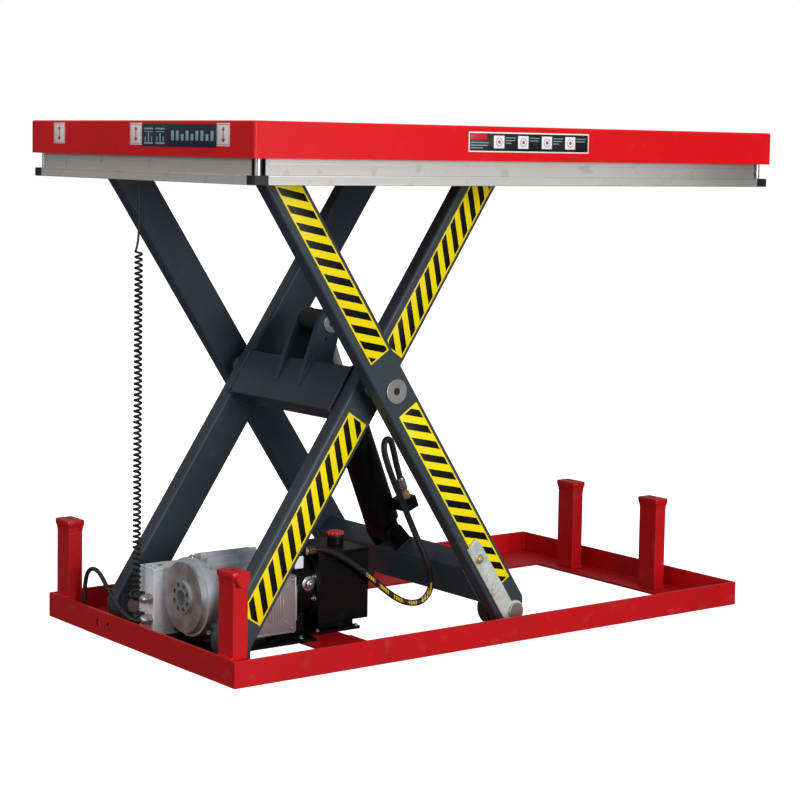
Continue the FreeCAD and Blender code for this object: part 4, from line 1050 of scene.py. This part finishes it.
@dataclass
class PowerUnit:
    """Motor, terminal box, pump and oil tank on their tray."""

    cover_low: tuple[float, float, float] = (-470, -150, 30)
    cover_high: tuple[float, float, float] = (-367, -145, 143)
    cap_at: tuple[float, float, float] = (-190, -30, 180.3)
    tank_low: tuple[float, float] = (-280, -100)
    tank_high: tuple[float, float] = (-156, 40)
    lobes: int = 12
    bolt_circle: float = 63

    def build(self, table: Table) -> None:
        """Dresses the castings and adds screws, ribs and the filler cap."""
        table.soften(CAST_ALUMINIUM, 0.0007, "motor_housing")
        table.soften(CAST_ALUMINIUM, 0.002, "terminal_box")
        table.soften(IRON_FLANGE, 0.0006, "motor_end_flange")
        table.paint(BRIGHT_STEEL, "motor_bearings", "motor_rotor", "pump_drive_gear",
                    "pump_idler_gear")
        table.soften(BLACK_PAINT, 0.0016, "pump_body", "oil_tank", "pump_manifold")
        table.soften(BLACK_PAINT, 0.0008, "power_tray")
        self.cover()
        self.filler_cap()
        self.fastenings()
        self.trim()

    def cover(self) -> None:
        """Ribbed terminal cover with a raised rim and four screws."""
        x0, y0, z0 = self.cover_low
        x1, y1, z1 = self.cover_high
        face = y0 + 2
        cover = Shape()
        cover.block(mm(x0, face, z0), mm(x1, y1, z1), 0.0012)
        for low, high in (((x0, z0), (x1, z0 + 4)), ((x0, z1 - 4), (x1, z1)),
                          ((x0, z0), (x0 + 4, z1)), ((x1 - 4, z0), (x1, z1))):
            cover.block(mm(low[0], y0, low[1]), mm(high[0], face + 1, high[1]), 0.0008)
        for index in range(8):
            x = x0 + 26 + index * 6.6
            cut = 6 * abs(index - 3.5)
            cover.block(mm(x, y0 + 0.6, z0 + 22 + cut * 0.5), mm(x + 2.4, face + 1, z1 - 20 - cut),
                        0.0006)
        for x, z, slope in ((x0 + 16, z0 + 16, -1), (x1 - 16, z0 + 16, 1),
                            (x0 + 16, z1 - 16, 1), (x1 - 16, z1 - 16, -1)):
            turn = (Matrix.Translation(mm(x, 0, z)) @ Matrix.Rotation(slope * math.pi / 4, 4, "Y"))
            cover.block(mm(-12, y0 + 0.6, -1.1), mm(12, face + 1, 1.1), 0.0005, turn)
        cover.publish("terminal_cover_form", "base", COVER_SILVER, ["terminal_cover"])
        screws = Shape()
        for x in (x0 + 8.5, x1 - 8.5):
            for z in (z0 + 8.5, z1 - 8.5):
                screws.turned([(0, 0), (0.004, 0), (0.004, 0.0015), (0.0026, 0.003),
                               (0, 0.0032)], mm(x, face, z), Axis.TOWARDS_FRONT, 24)
        screws.publish("terminal_cover_screws", "base", ZINC)

    def filler_cap(self) -> None:
        """Black neck ring with a lobed red grip."""
        x, y, z = self.cap_at
        collar = Shape()
        collar.turned([(0, 0), (0.0172, 0), (0.018, 0.0012), (0.018, 0.006),
                       (0.0165, 0.007), (0, 0.007)], mm(x, y, z), Axis.Z)
        collar.publish("filler_cap_collar", "cap", BLACK_PLASTIC)
        grip = Shape()
        grip.turned([(0, 0), (0.0152, 0), (0.0152, 0.0058), (0.0135, 0.0075), (0.0, 0.008)],
                    mm(x, y, z + 6.8), Axis.Z)
        for index in range(self.lobes):
            angle = math.tau * index / self.lobes
            middle = mm(x + 15.2 * math.cos(angle), y + 15.2 * math.sin(angle), z + 6.8)
            grip.disc(middle, Axis.Z, 0.0028, 0.0062, 14, 0.0007)
        grip.publish("filler_cap_grip", "cap", RED_PLASTIC, ["filler_cap"])

    def fastenings(self) -> None:
        """Lifting screw, pump plug, flange bolts, and bolts in the tray."""
        bolts = Shape()
        bolts.bolt(mm(-541, -43, 178.5), Axis.Z, 0.0042)
        bolts.bolt(mm(-307, -103, 111), Axis.TOWARDS_FRONT, 0.0085)
        for angle in (0.35, 1.22, 1.92, 2.79, 3.5, 5.93):
            y = -43 + self.bolt_circle * math.cos(angle)
            z = 102 + self.bolt_circle * math.sin(angle)
            bolts.bolt(mm(-292.2, y, z), Axis.TOWARDS_LEFT, 0.0042)
        for x, y in ((-285, -105), (-190, -105), (-345, -135), (-490, -135)):
            bolts.bolt(mm(x, y, 12), Axis.Z, 0.0035)
        bolts.publish("unit_bolts", "base", BRIGHT_STEEL)

    def trim(self) -> None:
        """The manifold's plate, the tank's seam and the ears of the terminal box."""
        plate = Shape()
        plate.block(mm(-354, -125, 149), mm(-334, -122.8, 173), 0.0006)
        plate.publish("manifold_plate", "base", BOX_GREY)
        seam = Shape()
        x0, y0 = self.tank_low
        x1, y1 = self.tank_high
        seam.block(mm(x0 - 1, y0 - 1, 162), mm(x1 + 1, y1 + 1, 166.5), 0.0012)
        seam.publish("tank_lid_seam", "base", BLACK_PAINT)
        ears = Shape()
        for low, high in ((-478, -470.5), (-366.5, -359)):
            ears.block(mm(low, -141, 50), mm(high, -124, 120), 0.0014)
        ears.publish("terminal_box_ears", "base", CAST_ALUMINIUM)


@dataclass
class ControlBox:
    """Electrical box with black discs that paint the shade in its top hole and lid screw holes,
    and four cable glands.
    """

    face_x: float = -578
    rows: tuple[float, float] = (45, 86)
    pale_y: float = 48
    black_y: float = 76

    def build(self, table: Table) -> None:
        """Dresses the box and makes the glands and small parts."""
        table.soften(BOX_GREY, 0.0012, "control_box", "control_box_lid")
        table.paint(RELAY_PLASTIC, "contactor")
        self.gland("pale_glands", self.pale_y, ZINC, ["cable_glands"])
        self.gland("black_glands", self.black_y, BLACK_PLASTIC, [])
        # black discs paint the shade in the lid's top hole and in its four screw holes
        hole_shade = Shape()
        hole_shade.disc(mm(-548, 64, 146), Axis.Z, 0.0052, 0.0004, 28)
        for x in (-571, -420):
            for y in (43, 85):
                hole_shade.disc(mm(x, y, 146), Axis.Z, 0.0026, 0.0004, 20)
        hole_shade.publish("lid_hole_shade", "base", BLACK_PLASTIC)

    def gland(self, name: str, y: float, finish: Finish, replaced: Sequence[str]) -> None:
        """A column of two cable glands.

        Args:
            name: the piece's name.
            y: where the column stands.
            finish: its finish.
            replaced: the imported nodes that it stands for.
        """
        glands = Shape()
        for z in self.rows:
            base = mm(self.face_x, y, z)
            glands.disc(base, Axis.TOWARDS_LEFT, 0.0108, 0.006, 6, 0.0008)
            glands.disc(base - mm(6, 0, 0), Axis.TOWARDS_LEFT, 0.0088, 0.003, 36, 0.0004)
            glands.disc(base - mm(8.5, 0, 0), Axis.TOWARDS_LEFT, 0.0102, 0.0085, 6, 0.0009)
            glands.disc(base - mm(16.5, 0, 0), Axis.TOWARDS_LEFT, 0.0088, 0.0075, 36, 0.0012,
                        far_radius=0.0062)
        glands.publish(name, "base", finish, replaced)


# ------------------------------------------------------------------ platform

class Side(Enum):
    """The face of the skirt that a label is on."""

    FRONT = 1
    LEFT = 2


@dataclass
class LabelPanel:
    """A label with no lettering, built up from thin tiles on one side of the skirt."""

    side: Side
    face: float

    def tile(self, shape: Shape, start: float, end: float, low: float, high: float,
             layer: int) -> None:
        """Adds a tile.

        Args:
            shape: the shape that it joins.
            start: where it starts along the side, in millimetres.
            end: where it ends.
            low: its lower edge.
            high: its upper edge.
            layer: 1 for the first layer and more for those on top.
        """
        proud = self.face - 0.25 * layer
        if self.side is Side.FRONT:
            shape.block(mm(start, proud, low), mm(end, self.face + 0.05, high), 0.00008)
        else:
            shape.block(mm(proud, start, low), mm(self.face + 0.05, end, high), 0.00008)


@dataclass
class Platform:
    """Deck, trip frame with its rods and switches, and the plain labels on the skirt."""

    half_length: float = 650
    half_width: float = 415

    def build(self, table: Table) -> None:
        """Dresses the deck and its parts and adds the labels."""
        table.paint(PLATFORM_RED, "deck")
        table.soften(FRAME_RED, 0.0008, "deck_stiffeners", "deck_pivot_brackets")
        table.paint(ZINC, "deck_pivot_pins", "guard_rods", "switch_plungers")
        table.soften(BLACK_PLASTIC, 0.0012, "limit_switches")
        table.soften(GUARD, 0.0009, "guard_rails")
        table.soften(BLACK_PLASTIC, 0.0022, "guard_corners")
        self.guard_lines()
        self.front_label()
        self.left_labels()

    def guard_lines(self) -> None:
        """Extruded ribs along the outside of the trip frame."""
        ribs = Shape()
        for side in (-1, 1):
            for z, proud, thick in ((921.6, 0.5, 2.6), (944, -8.4, 1.6), (908.4, 0.5, 1.6)):
                y0, y1 = sorted((side * (409.8 + proud), side * 409 + side * min(0, proud)))
                ribs.block(mm(-617, y0, z), mm(617, y1, z + thick), 0.0002)
                x0, x1 = sorted((side * (644.8 + proud), side * 644 + side * min(0, proud)))
                ribs.block(mm(x0, -382, z), mm(x1, 382, z + thick), 0.0002)
        ribs.publish("guard_ribs", "guard", GUARD)

    def front_label(self) -> None:
        """Black strip with a white border, a red tag and four pale tiles."""
        label = LabelPanel(Side.FRONT, -self.half_width)
        white, black, red, grey = Shape(), Shape(), Shape(), Shape()
        label.tile(white, -172, 131, 971, 1009, 1)
        label.tile(black, -169.5, 128.5, 973.5, 1006.5, 2)
        label.tile(red, -166.5, -128, 994.5, 1005, 3)
        for row, width in enumerate((42, 40, 28)):
            label.tile(grey, -166, -166 + width, 988 - row * 5, 989.6 - row * 5, 3)
        for index in range(4):
            start = -111 + index * 60
            label.tile(white, start, start + 26, 978.5, 1002.5, 3)
            for row, width in enumerate((25, 23, 14)[: 3 - index % 2]):
                label.tile(grey, start + 29, start + 29 + width, 998 - row * 5, 999.4 - row * 5,
                           3)
            for shape, proud, radius, sides in ((grey, 0.7, 0.0085, 32),
                                                (white, 0.9, 0.0065, 32),
                                                (red, 1.1, 0.0034, 24)):
                shape.disc(mm(start + 13, -self.half_width - proud, 990.5),
                           Axis.TOWARDS_FRONT, radius, 0.0003, sides)
        white.publish("front_label_white", "platform", LABEL_WHITE)
        black.publish("front_label_black", "platform", LABEL_BLACK)
        red.publish("front_label_red", "platform", LABEL_RED)
        grey.publish("front_label_marks", "platform", LABEL_BLUE)

    def left_labels(self) -> None:
        """Three small white labels with a red arrow, and a navy strip with plain bars."""
        label = LabelPanel(Side.LEFT, -self.half_length)
        white, navy, pale, red = Shape(), Shape(), Shape(), Shape()
        for low, high in ((273, 319), (-29.7, 15), (-335, -292)):
            middle = (low + high) / 2
            label.tile(white, low, high, 974, 1015, 1)
            for start, end, bottom, top in ((low + 1.5, high - 1.5, 976, 976.9),
                                            (low + 1.5, high - 1.5, 1012.2, 1013.1),
                                            (low + 1.5, low + 2.6, 976, 1013.1),
                                            (high - 2.6, high - 1.5, 976, 1013.1)):
                label.tile(red, start, end, bottom, top, 2)
            label.tile(red, middle - 1.4, middle + 1.4, 984, 1004, 2)
            for step in range(5):
                label.tile(red, middle - 6 + step * 1.2, middle + 6 - step * 1.2,
                           985.6 - step * 1.4, 987 - step * 1.4, 2)
                label.tile(red, middle - 5 + step, middle + 5 - step, 1002 + step * 1.3,
                           1003.3 + step * 1.3, 2)
        label.tile(navy, -292, -29.7, 971, 1013, 1)
        for low, high in ((-70, -38), (-112, -80)):
            for bottom, top in ((1003, 1006), (998, 999.6), (976, 979)):
                label.tile(pale, low, high, bottom, top, 2)
            label.tile(pale, (low + high) / 2 - 2, (low + high) / 2 + 2, 980, 996, 2)
            label.tile(pale, low + 3, low + 6, 980, 990, 2)
            label.tile(pale, high - 6, high - 3, 980, 990, 2)
        for index, tall in enumerate((1, 1, 0, 1, 0, 1, 1, 0, 1)):
            start = -136 - index * 17
            label.tile(pale, start - 9, start, 983, 1001 if tall else 995, 2)
        white.publish("left_labels_white", "platform", LABEL_WHITE)
        navy.publish("left_label_navy", "platform", LABEL_NAVY)
        pale.publish("left_label_bars", "platform", LABEL_BLUE)
        red.publish("left_labels_red", "platform", LABEL_RED)


# ------------------------------------------------------------------ cords

@dataclass
class Cord:
    """A cord on its route, drawn as a smooth tube that rides on one body."""

    name: str
    body: str
    route: Sequence[tuple[float, float, float]]
    diameter: float
    length: float
    far_end: str
    finish: Finish
    nodes: Sequence[str]
    stiffness: str = "medium"
    pieces: Sequence[Union[str, bpy.types.Object]] = field(default_factory=list)

    def curve(self, thick: float) -> bpy.types.Object:
        """The route as a NURBS curve.

        Args:
            thick: the tube's radius, or 0 for a bare line.

        Returns:
            A curve object that isn't in the scene yet.
        """
        data = bpy.data.curves.new(f"{self.name}_line", "CURVE")
        data.dimensions = "3D"
        data.resolution_u = 3 if len(self.route) > 100 else 12
        data.bevel_depth = thick
        data.bevel_resolution = 2 if len(self.route) > 100 else 5
        data.use_fill_caps = True
        spline = data.splines.new("NURBS")
        spline.points.add(len(self.route) - 1)
        for point, place in zip(spline.points, self.route):
            point.co = (*mm(*place), 1.0)
        spline.order_u = 3
        spline.use_endpoint_u = True
        return bpy.data.objects.new(f"{self.name}_line", data)

    def centreline(self) -> list[Vector]:
        """Points along the smooth line, in order."""
        bare = self.curve(0.0)
        mesh = bpy.data.meshes.new_from_object(bare)
        return [vert.co.copy() for vert in mesh.vertices]

    def build(self) -> bpy.types.Object:
        tube = self.curve(self.diameter / 2)
        bpy.context.scene.collection.objects.link(tube)
        bpy.context.view_layer.update()
        data = bpy.data.meshes.new_from_object(tube)
        bpy.data.objects.remove(tube)
        for polygon in data.polygons:
            polygon.use_smooth = True
        piece = publish_data(self.name, data, self.body, self.finish, self.nodes)
        self.centreline()
        return piece


HOSE_LOWER = [(-300, -114, 180), (-282, -114, 180), (-245, -115, 165), (-207, -116, 141),
              (-168, -119, 113), (-134, -122, 84), (-104, -127, 61), (-74, -133, 48),
              (-44, -138, 50), (-30, -148, 77), (-36.5, -153, 94.5)]
HOSE_UPPER = [(-36.5, -153, 94.5), (-43, -158, 112), (-60, -163, 149), (-73, -152, 187),
              (-79, -133, 223), (-84, -114, 258), (-92, -96, 296), (-101, -84, 334),
              (-106, -78, 362), (-101, -75, 380), (-87, -72.5, 382), (-77, -70, 366),
              (-57.6, -62, 315.6), (-48.6, -62, 293.3)]
MOTOR_CABLE = [(-470, -131, 92), (-494, -131, 92), (-516, -129, 80), (-528, -125, 58),
               (-532, -115, 35), (-530, -94, 20), (-525, -62, 18), (-524, -28, 18),
               (-528, 6, 21), (-528, 21, 22), (-528, 36, 22)]
CONTROL_CABLE = [(-602, 48, 45), (-614, 48, 45), (-623, 64, 52), (-623, 100, 66),
                 (-619, 136, 84), (-614, 170, 103), (-610, 200, 117), (-609, 228, 119),
                 (-609, 248, 106), (-610, 254, 84), (-612, 254, 58), (-612, 254, 36)]


@dataclass
class SpiralCord:
    """The curly cord that hangs from the platform to the control box."""

    middle: tuple[float, float] = (-594, 76)
    low: float = 99
    high: float = 768
    top: float = 1014.5
    wire: float = 5.0
    radius: float = 6.4
    turns: int = 62
    steps: int = 12
    smoothing: float = 0.985

    def route(self) -> list[tuple[float, float, float]]:
        """Gland, evenly spaced curls with a little wobble and sway, and the straight lead."""
        x, y = self.middle
        points = [(x - 8, y, 86), (x - 14, y, 87), (x - 14, y + 3, 94)]
        count = self.turns * self.steps
        for index in range(count + 1):
            share = index / count
            angle = math.tau * index / self.steps + math.pi
            sway = 0.5 * math.sin(share * 19)
            reach = self.radius * (1 + 0.03 * math.sin(index * 0.9)) / 0.97
            points.append((x + reach * math.cos(angle) + sway * 0.4,
                           y + reach * math.sin(angle) + sway,
                           self.low + (self.high - self.low) * share))
        points += [(x - 4, y - 2, self.high + 12), (x, y, self.high + 30),
                   (x + 0.5, y, self.high + 80), (x, y, self.high + 160), (x, y, self.top)]
        return points

    def run(self, points: Sequence[tuple[float, float, float]]) -> float:
        """The length along some points, in metres."""
        return sum((mm(*b) - mm(*a)).length for a, b in zip(points, points[1:]))

    def build(self) -> None:
        """Makes the cord as one fixed tube."""
        points = self.route()
        cord = Cord("spiral_cord_curls", "base", points, self.wire / 1000,
                    self.run(points) * self.smoothing, "object", RUBBER,
                    ["spiral_cord", "spiral_lead"], "limp")
        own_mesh(cord.build())


@dataclass
class Wiring:
    """Hydraulic hose, motor cable, control cable and spiral cord."""

    hose: float = 0.013
    cable: float = 0.009

    def build(self, table: Table) -> None:
        """Lays the cords and makes the connector and ferrule."""
        ferrule = Shape()
        ferrule.turned([(0, 0), (0.0086, 0), (0.0086, 0.007), (0.0076, 0.008), (0.008, 0.010),
                        (0.008, 0.0255), (0.0072, 0.0275), (0, 0.0275)],
                       mm(-327, -114, 180), Axis.X)
        ferrule.publish("hose_ferrule", "base", BRASS)
        Cord("hose_lower_run", "base", HOSE_LOWER, self.hose, 0.345, "object", PRINTED_HOSE,
             ["hose_lower"], "stiff").build()
        Cord("hose_upper_run", "barrel", HOSE_UPPER, self.hose, 0.423, "fitting", RUBBER,
             ["hose_upper"], "stiff",
             pieces=["hose_crimp_sleeve", "hose_swivel_nut"]).build()
        Cord("motor_cable_run", "base", MOTOR_CABLE, self.cable, 0.254, "object", RUBBER,
             ["motor_cable"]).build()
        plug = Shape()
        plug.turned([(0, 0), (0.0108, 0), (0.0108, 0.008), (0.0098, 0.009), (0.0098, 0.02),
                     (0.0085, 0.022), (0.0068, 0.0295), (0, 0.0295)],
                    mm(-612, 254, 6.2), Axis.Z)
        plug.publish("cable_plug", "base", BRIGHT_STEEL, ["cable_connector"])
        Cord("control_cable_run", "base", CONTROL_CABLE, self.cable, 0.303, "connector",
             RUBBER, ["control_cable"], pieces=["cable_plug"]).build()
        SpiralCord().build()


# ------------------------------------------------------------------ studio

@dataclass
class Studio:
    """Camera, pale floor and soft light."""

    azimuth: float = -0.652146
    elevation: float = 0.082617
    roll: float = 0.0169058
    eye: tuple[float, float, float] = (-2.6507, -3.4585, 0.9778)
    lens: float = 93.96
    shift: float = -0.1
    below: float = 0.07
    above: float = 0.40

    def build(self) -> None:
        """Sets up everything that isn't part of the table."""
        self.camera()
        self.floor()
        self.world()
        self.lamp("key", (-0.3, -4.8, 0.95), (0, -0.3, 0.5), 2.4, 176)
        self.lamp("top", (-0.4, -0.4, 4.2), (0, 0, 0.3), 3.0, 70)
        self.lamp("left", (-4.4, -0.4, 1.6), (-0.3, 0, 0.4), 2.0, 38)
        bpy.context.scene.view_settings.view_transform = "Standard"

    def camera(self) -> None:
        """A long lens from the front left, a little above the platform's height."""
        a, e, r = self.azimuth, self.elevation, self.roll
        back = Vector((math.sin(a) * math.cos(e), -math.cos(a) * math.cos(e), math.sin(e)))
        right = Vector((math.cos(a), math.sin(a), 0.0))
        up = back.cross(right)
        turned_right = right * math.cos(r) + up * math.sin(r)
        turned_up = up * math.cos(r) - right * math.sin(r)
        data = bpy.data.cameras.new("camera")
        data.sensor_width = 36.0
        data.lens = self.lens
        data.shift_y = self.shift
        camera = bpy.data.objects.new("camera", data)
        turn = Matrix((turned_right, turned_up, back)).transposed()
        camera.matrix_world = Matrix.Translation(self.eye) @ turn.to_4x4()
        bpy.context.scene.collection.objects.link(camera)
        bpy.context.scene.camera = camera

    def floor(self) -> None:
        """A wide pale floor just under the table's feet."""
        ground = bmesh.new()
        bmesh.ops.create_circle(ground, cap_ends=True, segments=96, radius=40.0)
        data = bpy.data.meshes.new("floor")
        ground.to_mesh(data)
        ground.free()
        graph = Graph("pale_floor")
        graph.surface(Base_Color=(0.9, 0.9, 0.9), Roughness=0.7,
                      Emission_Color=(1.0, 1.0, 1.0), Emission_Strength=1.0)
        data.materials.append(graph.material)
        floor = bpy.data.objects.new("floor", data)
        floor.location.z = -0.001
        floor.visible_diffuse = False
        floor.visible_glossy = False
        bpy.context.scene.collection.objects.link(floor)

    def world(self) -> None:
        """A white surround that lights the table less than it shows."""
        world = bpy.data.worlds.new("surround")
        world.use_nodes = True
        tree = world.node_tree
        nodes, link = tree.nodes, tree.links.new
        way = nodes.new("ShaderNodeSeparateXYZ")
        link(nodes.new("ShaderNodeTexCoord").outputs["Generated"], way.inputs[0])
        dim = nodes.new("ShaderNodeMapRange")
        link(way.outputs["Z"], dim.inputs["Value"])
        for socket, value in (("From Min", -0.25), ("From Max", 0.6), ("To Min", self.below),
                              ("To Max", self.above)):
            dim.inputs[socket].default_value = value
        strength = nodes.new("ShaderNodeMapRange")
        link(nodes.new("ShaderNodeLightPath").outputs["Is Camera Ray"],
             strength.inputs["Value"])
        link(dim.outputs["Result"], strength.inputs["To Min"])
        background = nodes["Background"]
        background.inputs["Color"].default_value = (1.0, 1.0, 1.0, 1.0)
        link(strength.outputs["Result"], background.inputs["Strength"])
        bpy.context.scene.world = world

    def lamp(self, name: str, place: Numbers, target: Numbers, size: float,
             power: float) -> None:
        """A square soft light.

        Args:
            name: its name.
            place: where it hangs.
            target: what it points at.
            size: its side.
            power: its power in watts.
        """
        data = bpy.data.lights.new(name, "AREA")
        data.size = size
        data.energy = power
        light = bpy.data.objects.new(name, data)
        way = Vector(place) - Vector(target)
        light.matrix_world = Matrix.Translation(place) @ turn_to(way.normalized())
        bpy.context.scene.collection.objects.link(light)


def main() -> None:
    """Builds the studio, the cords and every sub-assembly, in order."""
    logging.basicConfig(level=logging.INFO, format="%(name)s: %(message)s")
    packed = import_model()
    table = Table(packed)
    Studio().build()
    HydraulicCylinder().build(table)
    Wiring().build(table)
    for part in (BaseFrame(), ScissorArms(), SafetyProp(), PowerUnit(), ControlBox(),
                 Platform()):
        part.build(table)
        LOG.info("%s done", type(part).__name__)


if __name__ == "__main__":
    main()
